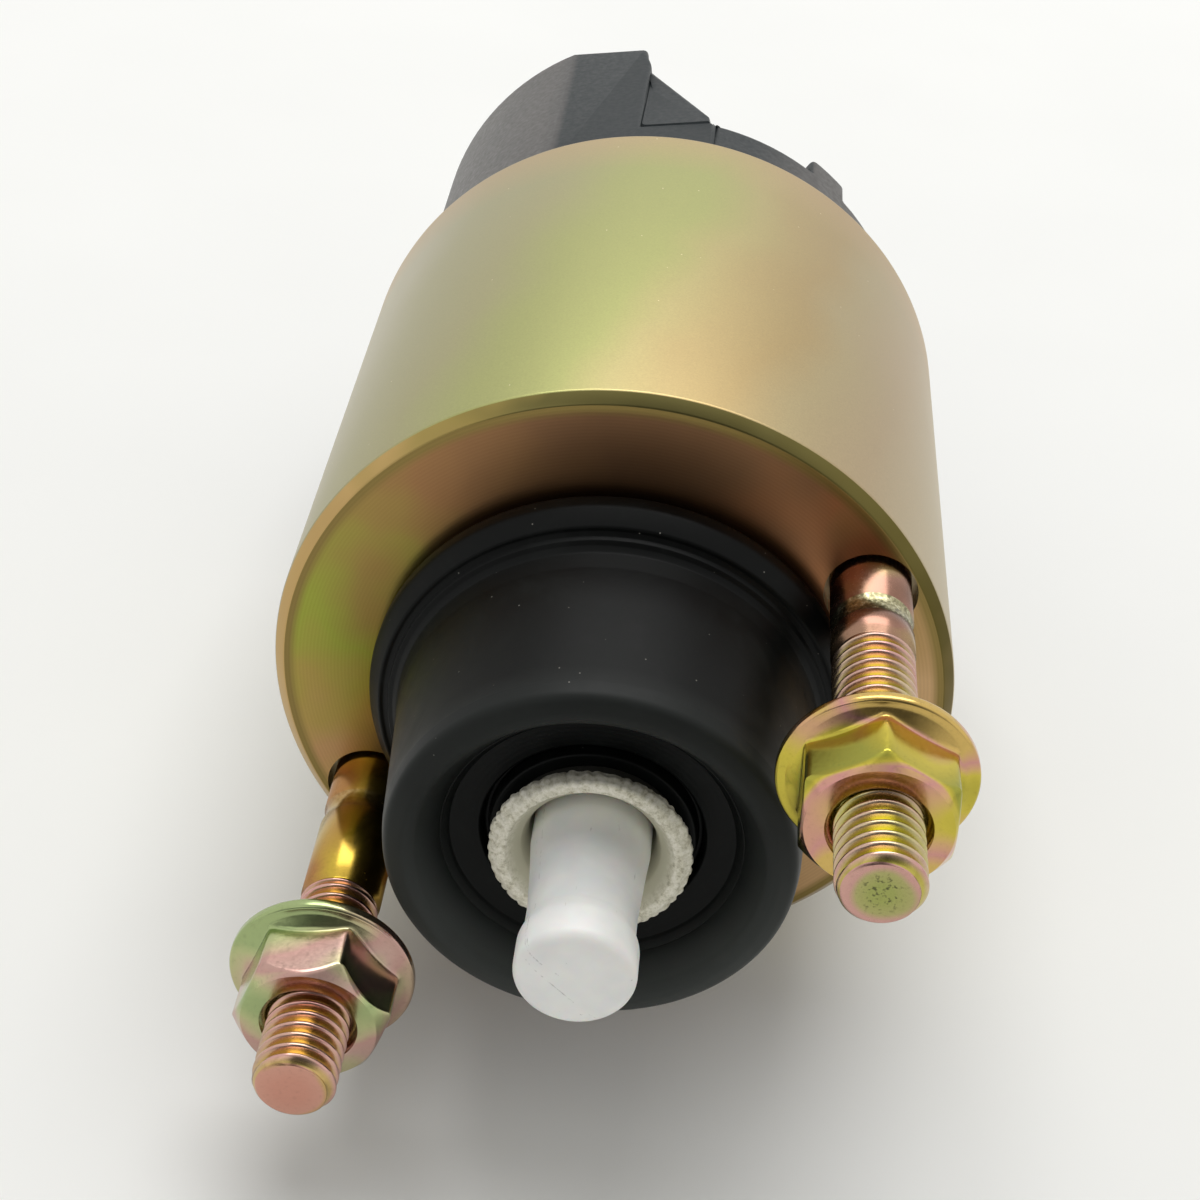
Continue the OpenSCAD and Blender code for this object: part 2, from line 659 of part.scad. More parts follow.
module cap() {
  base_y = can_l - lip_t - cap_flange_t;
  wall_y = deck_y + guard_h;
  pad_r = washer_r + 0.4;
  color([0.20, 0.21, 0.22])
  difference() {
    union() {
      lathe() difference() {
        polygon([[0, base_y], [flange_r, base_y], [flange_r, can_l - lip_t], [cap_r, can_l - lip_t],
                 [cap_r, deck_y - 0.6], [cap_r - 0.6, deck_y], [0, deck_y]]);
        polygon(rect(-1, chamber_r, base_y - 1, floor_y));
        polygon(rect(-1, crod_r + 1.2, floor_y - 1, roof_y));
      }
      slab(deck_y - 1, wall_y) guard_plan(cap_r, cap_r - guard_t, 90 + flat_turn, 262);
      guard_slope(wall_y);
      lug();
      translate([-terminal_off, 0, 0]) bar(pad_r, deck_y - 1, pad_y);
      translate([terminal_off, 0, 0]) bar(pad_r, deck_y - 1, pad_y);
    }
    slab(can_l + 0.1, wall_y + 1) rotate(flat_turn) translate([-cap_r, cap_r - guard_flat]) square([2 * cap_r, 5]);
    slab(deck_y + 0.4, wall_y + 1) rotate(flat_turn) translate([flat_land, cap_r - guard_flat - 0.5]) square([cap_r, 5]);
    translate([-terminal_off, 0, 0]) bar(terminal_r + slide, floor_y - 1, pad_y + 1);
    translate([terminal_off, 0, 0]) bar(terminal_r + slide, floor_y - 1, pad_y + 1);
    translate([spade_at[0], 0, spade_at[1]]) bar(rivet_r + press, floor_y - 1, deck_y + 1);
  }
}

// outline of a short piece of the outer wall
module wall_plan(t, a0, a1) {
  intersection() {
    difference() {
      circle(r = cap_r);
      circle(r = cap_r - t);
    }
    polygon([[0, 0], 2 * cap_r * [cos(a0), sin(a0)], 2 * cap_r * [cos(a1), sin(a1)]]);
  }
}

// locating lug on the low side of the cap
module lug() {
  slab(deck_y - 1, deck_y + lug_h) wall_plan(lug_t, lug_from, lug_to);
}

// sloping end of the guard wall
module guard_slope(wall_y) {
  intersection() {
    slab(deck_y - 1, wall_y) wall_plan(guard_t, 80, 92 + flat_turn);
    translate([0, 0, cap_r - guard_t - 4]) linear_extrude(height = guard_t + 5)
      polygon([[-12, deck_y - 1], [-12, wall_y - 1.2], [-4.2, wall_y - 1.2], [-3.6, wall_y - 4.8], [2.4, deck_y + 3],
               [3, deck_y - 1]]);
  }
}

// copper terminal stud with its contact head inside the chamber
module terminal_stud(x) {
  color([0.76, 0.48, 0.28])
  translate([x, 0, 0])
  lathe() polygon([[0, head_y], [head_r - 0.4, head_y], [head_r, head_y + 0.4], [head_r, floor_y], [terminal_r, floor_y],
                   [terminal_r, terminal_tail_y], [terminal_r - dog_ease, terminal_tail_y],
                   [terminal_r - dog_ease, terminal_end_y - 0.8], [terminal_r - dog_ease - 0.8, terminal_end_y],
                   [0, terminal_end_y]]);
}

module battery_stud() {
  terminal_stud(-terminal_off);
}

module motor_stud() {
  terminal_stud(terminal_off);
}

module washer(x) {
  color([0.76, 0.76, 0.76])
  translate([x, 0, 0]) lathe() polygon(rect(terminal_r + 0.2, washer_r, pad_y, pad_y + washer_t));
}

module battery_washer() {
  washer(-terminal_off);
}

module motor_washer() {
  washer(terminal_off);
}

module battery_base_nut() {
  color([0.74, 0.74, 0.72])
  translate([-terminal_off, 0, 0]) hex_nut(terminal_af, terminal_nut_h, terminal_r + press, base_nut_y);
}

module motor_base_nut() {
  color([0.74, 0.74, 0.72])
  translate([terminal_off, 0, 0]) hex_nut(terminal_af, terminal_nut_h, terminal_r + press, base_nut_y);
}

// split spring washer, pressed flat
module lock_washer(x, turn) {
  color([0.62, 0.62, 0.62])
  translate([x, 0, 0])
  difference() {
    lathe() polygon(rect(terminal_r + 0.15, terminal_r + 2.6, lock_y, lock_y + lock_t));
    slab(lock_y - 1, lock_y + lock_t + 1) rotate(turn) translate([terminal_r - 1, -0.35]) square([6, 0.7]);
  }
}

module battery_lock_washer() {
  lock_washer(-terminal_off, 70);
}

module motor_lock_washer() {
  lock_washer(terminal_off, 200);
}

module battery_nut() {
  color([0.74, 0.74, 0.72])
  translate([-terminal_off, 0, 0]) rotate([0, 17, 0]) hex_nut(terminal_af, terminal_nut_h, terminal_r + press, top_nut_y);
}

module motor_nut() {
  color([0.74, 0.74, 0.72])
  translate([terminal_off, 0, 0]) rotate([0, -9, 0]) hex_nut(terminal_af, terminal_nut_h, terminal_r + press, top_nut_y);
}

// tinned blade for the switch wire, with a riveted foot
module spade_terminal() {
  foot_l = 8;
  color([0.80, 0.79, 0.75])
  translate([spade_at[0], 0, spade_at[1]]) rotate([0, 30, 0])
  difference() {
    union() {
      translate([-spade_w / 2, deck_y, -foot_l / 2 + 0.4]) cube([spade_w, spade_t, foot_l - 1.2]);
      translate([0, 0, -foot_l / 2 + 0.4])
      linear_extrude(height = spade_t)
        polygon([[-spade_w / 2, deck_y], [spade_w / 2, deck_y], [spade_w / 2, deck_y + spade_l - 1.2],
                 [spade_w / 2 - 1.2, deck_y + spade_l], [-spade_w / 2 + 1.2, deck_y + spade_l],
                 [-spade_w / 2, deck_y + spade_l - 1.2]]);
    }
    bar(rivet_r + press, deck_y - 1, deck_y + spade_t + 1);
    translate([0, deck_y + spade_l - 4.5, -foot_l]) cylinder(r = 0.9, h = foot_l * 2);
  }
}

module spade_rivet() {
  head_top = deck_y + spade_t;
  color([0.80, 0.68, 0.36])
  translate([spade_at[0], 0, spade_at[1]])
  lathe() polygon([[0, floor_y - rivet_tail], [rivet_r + 0.8, floor_y - rivet_tail], [rivet_r + 0.8, floor_y],
                   [rivet_r, floor_y], [rivet_r, head_top], [rivet_r + 0.9, head_top], [rivet_r + 0.5, head_top + 0.8],
                   [0, head_top + 0.8]]);
}

module lead_switch() {
  color([0.76, 0.42, 0.22])
  translate([spade_at[0], 0, spade_at[1]]) bar(lead_r, lead_start_y, floor_y - rivet_tail);
}

module lead_motor() {
  color([0.76, 0.42, 0.22])
  translate([lead_motor_at[0], 0, lead_motor_at[1]]) bar(lead_r, lead_start_y, floor_y - 0.5);
}

housing();
stud_right();
stud_left();
nut_right();
nut_left();
boot();
collar();
push_rod();
drive_spring();
plunger();
sleeve();
return_spring();
bobbin();
pull_winding();
hold_winding();
winding_wrap();
core();
contact_rod();
contact_spring();
lower_insulator();
contact_disc();
upper_insulator();
contact_clip();
contact_return_spring();
gasket();
cap();
battery_stud();
motor_stud();
battery_washer();
motor_washer();
battery_base_nut();
motor_base_nut();
battery_lock_washer();
motor_lock_washer();
battery_nut();
motor_nut();
spade_terminal();
spade_rivet();
lead_switch();
lead_motor();
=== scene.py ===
import math
import random

import bpy
from mathutils import Matrix, Vector, noise


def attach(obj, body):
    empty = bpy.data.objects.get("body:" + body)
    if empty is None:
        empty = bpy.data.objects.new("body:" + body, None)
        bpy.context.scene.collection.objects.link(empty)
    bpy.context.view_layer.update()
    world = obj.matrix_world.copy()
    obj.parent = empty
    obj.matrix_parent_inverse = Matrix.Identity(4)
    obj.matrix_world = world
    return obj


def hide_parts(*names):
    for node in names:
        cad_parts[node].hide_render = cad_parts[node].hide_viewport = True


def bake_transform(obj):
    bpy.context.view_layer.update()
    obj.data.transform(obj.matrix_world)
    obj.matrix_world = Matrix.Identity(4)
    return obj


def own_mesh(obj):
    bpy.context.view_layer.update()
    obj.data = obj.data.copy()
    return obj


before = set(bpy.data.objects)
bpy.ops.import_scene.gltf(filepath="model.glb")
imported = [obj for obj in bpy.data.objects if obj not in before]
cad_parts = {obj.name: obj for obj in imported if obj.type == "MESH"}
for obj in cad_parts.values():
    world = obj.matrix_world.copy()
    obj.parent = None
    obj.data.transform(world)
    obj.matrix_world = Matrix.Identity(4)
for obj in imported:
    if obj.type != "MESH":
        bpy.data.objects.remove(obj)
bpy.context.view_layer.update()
print("frame loaded")

mm = 0.001  # every size below is in millimetres
studPlaces = {"right": (17.97, 12.075), "left": (-17.97, -12.075)}
plainEnds = {"right": -8.4, "left": -13.9}  # where each stud's thread starts


# edit mode helpers

def startPiece(name, place):
    bpy.ops.object.select_all(action="DESELECT")
    bpy.ops.mesh.primitive_plane_add(size=mm, location=place)
    piece = bpy.context.object
    piece.name = name
    piece.data.name = name
    return piece


def pickOnly(piece):
    bpy.ops.object.select_all(action="DESELECT")
    piece.select_set(True)
    bpy.context.view_layer.objects.active = piece


def finishPiece(piece, angle=35):
    pickOnly(piece)
    bpy.ops.object.transform_apply(location=True, rotation=True, scale=True)
    bpy.ops.object.shade_smooth_by_angle(angle=math.radians(angle))
    return piece


def applyModifiers(piece):
    pickOnly(piece)
    for modifier in list(piece.modifiers):
        bpy.ops.object.modifier_apply(modifier=modifier.name)


def softOutline(corners, closed=True):
    # each corner is radius, place along the axis and, if it is rounded, its fillet
    points = []
    count = len(corners)
    for i, corner in enumerate(corners):
        here = Vector(corner[:2])
        fillet = corner[2] if len(corner) > 2 else 0
        if not fillet or (not closed and i in (0, count - 1)):
            points.append(here)
            continue
        before = Vector(corners[i - 1][:2]) - here
        after = Vector(corners[(i + 1) % count][:2]) - here
        opening = before.angle(after)
        reach = min(fillet / math.tan(opening / 2), before.length * 0.49, after.length * 0.49)
        radius = reach * math.tan(opening / 2)
        bisector = (before.normalized() + after.normalized()).normalized()
        centre = here + bisector * (radius / math.sin(opening / 2))
        first = here + before.normalized() * reach - centre
        last = here + after.normalized() * reach - centre
        sweep = first.angle_signed(last)
        parts = max(2, round(abs(sweep) / math.radians(15)))
        for k in range(parts + 1):
            turn = -sweep * k / parts
            c, s = math.cos(turn), math.sin(turn)
            points.append(centre + Vector((first.x * c - first.y * s, first.x * s + first.y * c)))
    return points


def turnedPiece(name, outline, steps=256, centre=(0, 0), closed=True, angle=35):
    # a profile drawn point by point and spun about a line along Y
    x, z = centre
    points = [Vector(point) for point in outline]
    if closed:
        points.append(points[0])
    piece = startPiece(name, ((x + points[0].x) * mm, points[0].y * mm, z * mm))
    bpy.ops.object.mode_set(mode="EDIT")
    bpy.ops.mesh.select_all(action="SELECT")
    bpy.ops.mesh.merge(type="CENTER")
    for here, there in zip(points, points[1:]):
        step = (there - here) * mm
        bpy.ops.mesh.extrude_vertices_move(TRANSFORM_OT_translate={"value": (step.x, step.y, 0)})
    bpy.ops.mesh.select_all(action="SELECT")
    bpy.ops.mesh.spin(steps=steps, angle=math.tau, center=(x * mm, 0, z * mm), axis=(0, 1, 0))
    bpy.ops.mesh.select_all(action="SELECT")
    bpy.ops.mesh.remove_doubles(threshold=0.002 * mm)
    bpy.ops.mesh.normals_make_consistent(inside=False)
    bpy.ops.object.mode_set(mode="OBJECT")
    return finishPiece(piece, angle)


def reshape(piece, centre, rule):
    # rule takes radius, angle from +X toward +Z and place along Y, and gives the new radius and place
    x, z = centre
    for vertex in piece.data.vertices:
        dx, dz = vertex.co.x / mm - x, vertex.co.z / mm - z
        radius = math.hypot(dx, dz)
        if radius < 1e-4:
            continue
        newRadius, newPlace = rule(radius, math.atan2(dz, dx), vertex.co.y / mm)
        vertex.co = ((x + dx * newRadius / radius) * mm, newPlace * mm, (z + dz * newRadius / radius) * mm)
    piece.data.update()


def softMin(a, b, width):
    h = max(width - abs(a - b), 0) / width
    return min(a, b) - h * h * width / 4


def softMax(a, b, width):
    return -softMin(-a, -b, width)


def ease(t):
    t = min(1, max(0, t))
    return t * t * (3 - 2 * t)


def evenSteps(low, high, step):
    count = max(1, round(abs(high - low) / step))
    return [low + (high - low) * k / count for k in range(count + 1)]


def threadDepth(place, angle, pitch):
    # 1 at the root and 0 at the crest of a right-hand thread about Y
    flatRoot, flanks = 0.16, 0.72  # shares of the pitch
    turn = (math.pi / 2 - angle) / math.tau
    phase = (place / pitch - turn) % 1
    fromRoot = abs(phase - 0.5) * 2
    return 1 - ease((fromRoot - flatRoot) / flanks)


def hexRadius(angle, acrossFlats, turn):
    local = (math.degrees(angle) - turn) % 60 - 30
    return acrossFlats / 2 / math.cos(math.radians(local))


# colour and material helpers

def srgb(code):
    parts = [int(code[i:i + 2], 16) / 255 for i in (1, 3, 5)]
    return [p / 12.92 if p <= 0.04045 else ((p + 0.055) / 1.055) ** 2.4 for p in parts] + [1]


def feed(tree, socket, value):
    # a node stands for its first output in use
    if isinstance(value, bpy.types.Node):
        value = next(output for output in value.outputs if output.enabled)
    if isinstance(value, bpy.types.NodeSocket):
        tree.links.new(value, socket)
    else:
        socket.default_value = value


def setShader(tree, shader, **values):
    for name, value in values.items():
        feed(tree, shader.inputs[name.replace("_", " ")], value)


def addNode(tree, kind, inputs=None, stops=None, **settings):
    # one node with its settings, its links or values and the stops of a colour ramp; in a colour mix 0 is the
    # share and 6 and 7 are the two colours
    node = tree.nodes.new("ShaderNode" + kind)
    for key, value in settings.items():
        setattr(node, key, value)
    for key, value in (inputs or {}).items():
        feed(tree, node.inputs[key], value)
    for count, (position, colour) in enumerate(stops or []):
        line = node.color_ramp.elements
        element = line[count] if count < len(line) else line.new(position)
        element.position = position
        element.color = srgb(colour) if isinstance(colour, str) else [colour] * 3 + [1]
    return node


def newMaterial(name, **values):
    material = bpy.data.materials.new(name)
    material.use_nodes = True
    tree = material.node_tree
    shader = tree.nodes["Principled BSDF"]
    setShader(tree, shader, **values)
    place = addNode(tree, "TexCoord").outputs["Object"]
    return material, tree, shader, place


def axisDistance(tree, place):
    # how far a point is from the line along Y
    flat = addNode(tree, "VectorMath", {0: place, 1: (1, 0, 1)}, operation="MULTIPLY")
    return addNode(tree, "VectorMath", {0: flat}, operation="LENGTH")


def filmAround(tree, place, spec):
    # a film whose colour changes round the can, twisted along it and pushed about by soft patches
    axes = addNode(tree, "SeparateXYZ", {0: place})
    turn = addNode(tree, "Math", {0: axes.outputs["X"], 1: axes.outputs["Z"]}, operation="ARCTAN2")
    if "twist" in spec:
        twist = addNode(tree, "Math", {0: axes.outputs["Y"], 1: spec["twist"]}, operation="MULTIPLY")
        turn = addNode(tree, "Math", {0: twist, 1: turn}, operation="SUBTRACT")
    cloud = addNode(tree, "TexNoise", {"Vector": place, "Scale": 1 / (spec["patch"] * mm), "Detail": spec["detail"]})
    drift = addNode(tree, "Math", {0: cloud, 1: spec["drift"], 2: -spec["drift"] / 2}, operation="MULTIPLY_ADD")
    moved = addNode(tree, "Math", {0: turn, 1: drift})
    share = addNode(tree, "Math", {0: moved, 1: spec["share"], 2: 0.5}, operation="MULTIPLY_ADD")
    return addNode(tree, "ValToRGB", {0: share}, spec["stops"])


def paint(piece, material):
    piece.data.materials.clear()
    piece.data.materials.append(material)


def dress(piece, body, slot, material, *nodes):
    if body:
        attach(piece, body)
    if nodes:
        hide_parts(*nodes)
    paint(piece, material)
    return piece


# materials

# films on the can: twist in radians per metre, patch size in mm, how far patches push the colours in radians,
# and the share of the colours that one radian takes
satinFilm = {"twist": 10.5, "patch": 14, "detail": 2, "drift": 0.3, "share": 0.147, "stops": [
    (0, "#B4A684"), (0.345, "#BEB092"), (0.40, "#B5A07E"), (0.444, "#B4A37B"), (0.470, "#B39C6E"), (0.495, "#B5A172"),
    (0.515, "#B5A876"), (0.540, "#A9AA6E"), (0.580, "#A7A86E"), (0.615, "#A9A379"), (0.660, "#ABA581"),
    (0.70, "#B4AD92"), (1, "#B4A684")]}
# painted reflection: on the turned face the stops from 0.38 to 0.60 fall across the top middle and are darker, for
# the black boot it would reflect
turnedFilm = {"patch": 7, "detail": 1.5, "drift": 1.1, "share": -0.147, "stops": [
    (0.0, "#C49C6E"), (0.27, "#C8A478"), (0.34, "#B0905F"), (0.38, "#B88058"), (0.45, "#987252"), (0.52, "#906C4E"),
    (0.60, "#A27A52"), (0.655, "#A48C50"), (0.71, "#A0A648"), (0.76, "#B09A54"), (0.81, "#BE9668"), (1.0, "#C49C6E")]}
bevelFilm = {"patch": 5, "detail": 1, "drift": 1.0, "share": 0.159, "stops": [
    (0.0, "#A98F58"), (0.22, "#B99A66"), (0.34, "#BE9E68"), (0.41, "#9C8A50"), (0.45, "#736B40"), (0.50, "#787044"),
    (0.58, "#6E653A"), (0.70, "#5C5229"), (0.80, "#857046"), (1.0, "#A98F58")]}


def satinZincMaterial():
    # yellow zinc plating over a fine-blasted drawn can: soft sheen, and a film that goes from rose through straw
    # to green and grey round the can
    material, tree, shader, place = newMaterial("yellowZincSatin", Metallic=1)
    film = filmAround(tree, place, satinFilm)
    # the rear band is redder
    axes = addNode(tree, "SeparateXYZ", {0: place})
    back = addNode(tree, "MapRange", {0: axes.outputs["Y"], 1: 39 * mm, 2: 46 * mm, 4: 0.75})
    rimmed = addNode(tree, "Mix", {0: back, 6: film, 7: srgb("#C0A47C")}, data_type="RGBA")
    grain = addNode(tree, "TexNoise", {"Vector": place, "Scale": 1 / (0.16 * mm), "Detail": 2, "Roughness": 0.7})
    shade = addNode(tree, "ValToRGB", {0: grain}, [(0.28, 0.86), (0.72, 1.0)])
    base = addNode(tree, "Mix", {0: 1.0, 6: rimmed, 7: shade}, data_type="RGBA", blend_type="MULTIPLY")
    # small bright knocks, about 2 mm apart
    knocks = addNode(tree, "TexVoronoi", {"Vector": place, "Scale": 1 / (2.2 * mm)})
    spot = addNode(tree, "Math", {0: knocks, 1: 0.028}, operation="LESS_THAN")
    knocked = addNode(tree, "Mix", {0: spot, 6: base, 7: srgb("#DDD4AC")}, data_type="RGBA")
    gloss = addNode(tree, "Math", {0: grain, 1: 0.12, 2: 0.33}, operation="MULTIPLY_ADD")
    bump = addNode(tree, "Bump", {"Height": grain, "Strength": 0.5, "Distance": 0.01 * mm})
    setShader(tree, shader, Base_Color=knocked, Roughness=gloss, Normal=bump)
    return material


def turnedZincMaterial():
    # yellow zinc plating over a lathe-turned face: fine rings, streaks of light across them, olive to rose-brown,
    # darkest across the top middle as painted reflection of the black boot
    material, tree, shader, place = newMaterial("yellowZincTurned", Metallic=1, Roughness=0.36, Anisotropic=0.6)
    film = filmAround(tree, place, turnedFilm)
    radius = axisDistance(tree, place)
    # the edge of the face is duller
    rim = addNode(tree, "MapRange", {0: radius, 1: 24.2 * mm, 2: 24.8 * mm})
    ringed = addNode(tree, "Mix", {0: rim, 6: film, 7: srgb("#8E7A48")}, data_type="RGBA")
    # tool marks 0.27 mm apart
    wave = addNode(tree, "Math", {0: radius, 1: math.tau / (0.27 * mm)}, operation="MULTIPLY")
    rings = addNode(tree, "Math", {0: wave}, operation="SINE")
    shade = addNode(tree, "MapRange", {0: rings, 1: -1.0, 2: 1.0, 3: 0.93, 4: 1.0})
    base = addNode(tree, "Mix", {0: 1.0, 6: ringed, 7: shade}, data_type="RGBA", blend_type="MULTIPLY")
    bump = addNode(tree, "Bump", {"Height": rings, "Strength": 0.3, "Distance": 0.001 * mm})
    along = addNode(tree, "Tangent", direction_type="RADIAL", axis="Y")
    setShader(tree, shader, Base_Color=base, Normal=bump, Tangent=along)
    return material


def bevelZincMaterial():
    # the same plating on the chamfered rim: straw on the left, olive over the top, dark olive on the right
    material, tree, shader, place = newMaterial("yellowZincBevel", Metallic=1, Roughness=0.3)
    film = filmAround(tree, place, bevelFilm)
    grain = addNode(tree, "TexNoise", {"Vector": place, "Scale": 1 / (0.3 * mm), "Detail": 3})
    bump = addNode(tree, "Bump", {"Height": grain, "Strength": 0.3, "Distance": 0.008 * mm})
    setShader(tree, shader, Base_Color=film, Normal=bump)
    return material


def filmNodes(tree, place, centre, seed, patchSize):
    # one fastener's own place, measured from its centre line, with film patches and grain
    x, z = centre
    own = addNode(tree, "Mapping", {"Vector": place, "Location": (-x * mm, 0, -z * mm)})
    elsewhere = addNode(tree, "VectorMath", {0: own, 1: (seed, seed * 0.7, seed * 1.3)})
    patch = addNode(
        tree, "TexNoise", {"Vector": elsewhere, "Scale": 1 / (patchSize * mm), "Detail": 1, "Distortion": 0.25})
    grain = addNode(tree, "TexNoise", {"Vector": elsewhere, "Scale": 1 / (0.35 * mm), "Detail": 4, "Roughness": 0.65})
    return own, patch, grain


def polishFilm(tree, shader, colour, grain, rough):
    # grain darkens the film a little and breaks up its gloss
    shade = addNode(tree, "ValToRGB", {0: grain}, [(0.30, 0.84), (0.44, 0.97), (0.7, 1.0)])
    base = addNode(tree, "Mix", {0: 1.0, 6: colour, 7: shade}, data_type="RGBA", blend_type="MULTIPLY")
    gloss = addNode(tree, "Math", {0: grain, 1: 0.2, 2: rough}, operation="MULTIPLY_ADD")
    bump = addNode(tree, "Bump", {"Height": grain, "Strength": 0.3, "Distance": 0.008 * mm})
    setShader(tree, shader, Base_Color=base, Roughness=gloss, Normal=bump)


def nutZincMaterial(name, centre, spec):
    # bright yellow zinc on a flange nut: glossy, the hexagon in one tone, the flange and end in patches of others
    material, tree, shader, place = newMaterial(name, Metallic=1)
    own, patch, grain = filmNodes(tree, place, centre, spec["seed"], 8)
    depth = addNode(tree, "SeparateXYZ", {0: own}).outputs["Y"]
    # from the back of the flange to the outer end
    height = addNode(tree, "MapRange", {0: depth, 1: -20.6 * mm, 2: -26.6 * mm})
    flange, hexagon, end = spec["zones"]
    zone = addNode(tree, "ValToRGB", {0: height}, [(0.2, flange), (0.32, hexagon), (0.86, hexagon), (0.95, end)])
    wide = addNode(tree, "Math", {0: patch, 1: 1.5, 2: -0.75}, operation="MULTIPLY_ADD")
    moved = addNode(tree, "Math", {0: wide, 1: zone})
    film = addNode(tree, "ValToRGB", {0: moved}, spec["stops"])
    polishFilm(tree, shader, film, grain, spec["rough"])
    return material


def studZincMaterial(name, centre, spec):
    # bright yellow zinc on a stud: pale crests over yellow thread roots, a browner shank, a dull rolled neck and
    # a cut end
    material, tree, shader, place = newMaterial(name, Metallic=1)
    own, patch, grain = filmNodes(tree, place, centre, spec["seed"], 6)
    depth = addNode(tree, "SeparateXYZ", {0: own}).outputs["Y"]
    radius = axisDistance(tree, own)
    crest = addNode(tree, "ValToRGB", {0: patch}, spec["crests"])
    root = addNode(tree, "MapRange", {0: radius, 1: 2.85 * mm, 2: 2.55 * mm, 4: 0.8})
    rooted = addNode(tree, "Mix", {0: root, 6: crest, 7: srgb(spec["root"])}, data_type="RGBA")
    plain = addNode(tree, "MapRange", {0: depth, 1: (spec["plainEnd"] - 0.5) * mm, 2: (spec["plainEnd"] - 0.1) * mm})
    shank = addNode(tree, "ValToRGB", {0: patch}, spec["shank"])
    body = addNode(tree, "Mix", {0: plain, 6: rooted, 7: shank}, data_type="RGBA")
    # the rolled neck
    rolled = addNode(tree, "Math", {0: depth, 1: -5 * mm, 2: 0.95 * mm}, operation="COMPARE")
    dull = addNode(tree, "Math", {0: rolled, 1: spec["neckDull"]}, operation="MULTIPLY")
    neck = addNode(tree, "ValToRGB", {0: grain}, [(0.40, "#7A7558"), (0.52, "#A9A27E"), (0.62, "#C4BFA0")])
    banded = addNode(tree, "Mix", {0: dull, 6: body, 7: neck}, data_type="RGBA")
    # the cut end, pitted in the middle
    cut = addNode(tree, "Math", {0: depth, 1: -32.35 * mm}, operation="LESS_THAN")
    wander = addNode(tree, "Math", {0: patch, 1: 2.4 * mm, 2: radius}, operation="MULTIPLY_ADD")
    across = addNode(tree, "MapRange", {0: wander, 1: 1.2 * mm, 2: 4.2 * mm})
    disc = addNode(tree, "ValToRGB", {0: across}, spec["disc"])
    pits = addNode(tree, "MapRange", {0: grain, 1: 0.54, 2: 0.62, 4: spec["pits"]})
    middle = addNode(tree, "MapRange", {0: radius, 1: 1.9 * mm, 2: 1.0 * mm})
    pitted = addNode(tree, "Math", {0: pits, 1: middle}, operation="MULTIPLY")
    end = addNode(tree, "Mix", {0: pitted, 6: disc, 7: srgb("#55553A")}, data_type="RGBA")
    whole = addNode(tree, "Mix", {0: cut, 6: banded, 7: end}, data_type="RGBA")
    polishFilm(tree, shader, whole, grain, spec["rough"])
    return material


def rubberMaterial():
    # moulded black rubber: deep black with a faint bloom, handling dust on its upper side, and a painted floor
    # reflection greying its nose from below
    material, tree, shader, place = newMaterial("mouldedRubber", Specular_IOR_Level=0.12)
    bloom = addNode(
        tree, "TexNoise", {"Vector": place, "Scale": 1 / (4 * mm), "Detail": 5, "Roughness": 0.65, "Distortion": 0.4})
    skin = addNode(tree, "ValToRGB", {0: bloom}, [(0.35, "#060707"), (0.55, "#090B0A"), (0.75, "#131514")])
    axes = addNode(tree, "SeparateXYZ", {0: place})
    upper = addNode(tree, "MapRange", {0: axes.outputs["Z"], 1: 4 * mm, 2: 15 * mm})
    # painted reflection: the nose is greyer, most of all below, where the floor would shine in it
    nose = addNode(tree, "MapRange", {0: axes.outputs["Y"], 1: -16.5 * mm, 2: -19.2 * mm})
    below = addNode(tree, "MapRange", {0: axes.outputs["Z"], 1: 5 * mm, 2: -7 * mm, 3: 0.35, 4: 1.0})
    floorSheenShare = addNode(tree, "Math", {0: below, 1: nose}, operation="MULTIPLY")
    floorSheened = addNode(tree, "Mix", {0: floorSheenShare, 6: skin, 7: srgb("#383B39")}, data_type="RGBA")
    # a few specks of dust on the upper side
    specks = addNode(tree, "TexVoronoi", {"Vector": place, "Scale": 1 / (0.7 * mm)})
    tiny = addNode(tree, "MapRange", {0: specks, 1: 0.10, 2: 0.05})
    few = addNode(tree, "SeparateColor", {0: specks.outputs["Color"]})
    some = addNode(tree, "Math", {0: few, 1: 0.86}, operation="GREATER_THAN")
    picked = addNode(tree, "Math", {0: tiny, 1: some}, operation="MULTIPLY")
    dust = addNode(tree, "Math", {0: picked, 1: upper}, operation="MULTIPLY")
    faint = addNode(tree, "Math", {0: dust, 1: 0.5}, operation="MULTIPLY")
    base = addNode(tree, "Mix", {0: faint, 6: floorSheened, 7: srgb("#B9B6AC")}, data_type="RGBA")
    gloss = addNode(tree, "Math", {0: bloom, 1: 0.3, 2: 0.30}, operation="MULTIPLY_ADD")
    # turned rings of the mould, 0.4 mm apart, show on the thin front
    radius = axisDistance(tree, place)
    wave = addNode(tree, "Math", {0: radius, 1: math.tau / (0.4 * mm)}, operation="MULTIPLY")
    rings = addNode(tree, "Math", {0: wave}, operation="SINE")
    inner = addNode(tree, "MapRange", {0: radius, 1: 10.3 * mm, 2: 9.9 * mm})
    lines = addNode(tree, "Math", {0: rings, 1: inner}, operation="MULTIPLY")
    grain = addNode(tree, "TexNoise", {"Vector": place, "Scale": 1 / (0.25 * mm), "Detail": 3})
    height = addNode(tree, "Math", {0: lines, 1: 0.5, 2: grain}, operation="MULTIPLY_ADD")
    bump = addNode(tree, "Bump", {"Height": height, "Strength": 0.3, "Distance": 0.012 * mm})
    setShader(tree, shader, Base_Color=base, Roughness=gloss, Normal=bump)
    return material


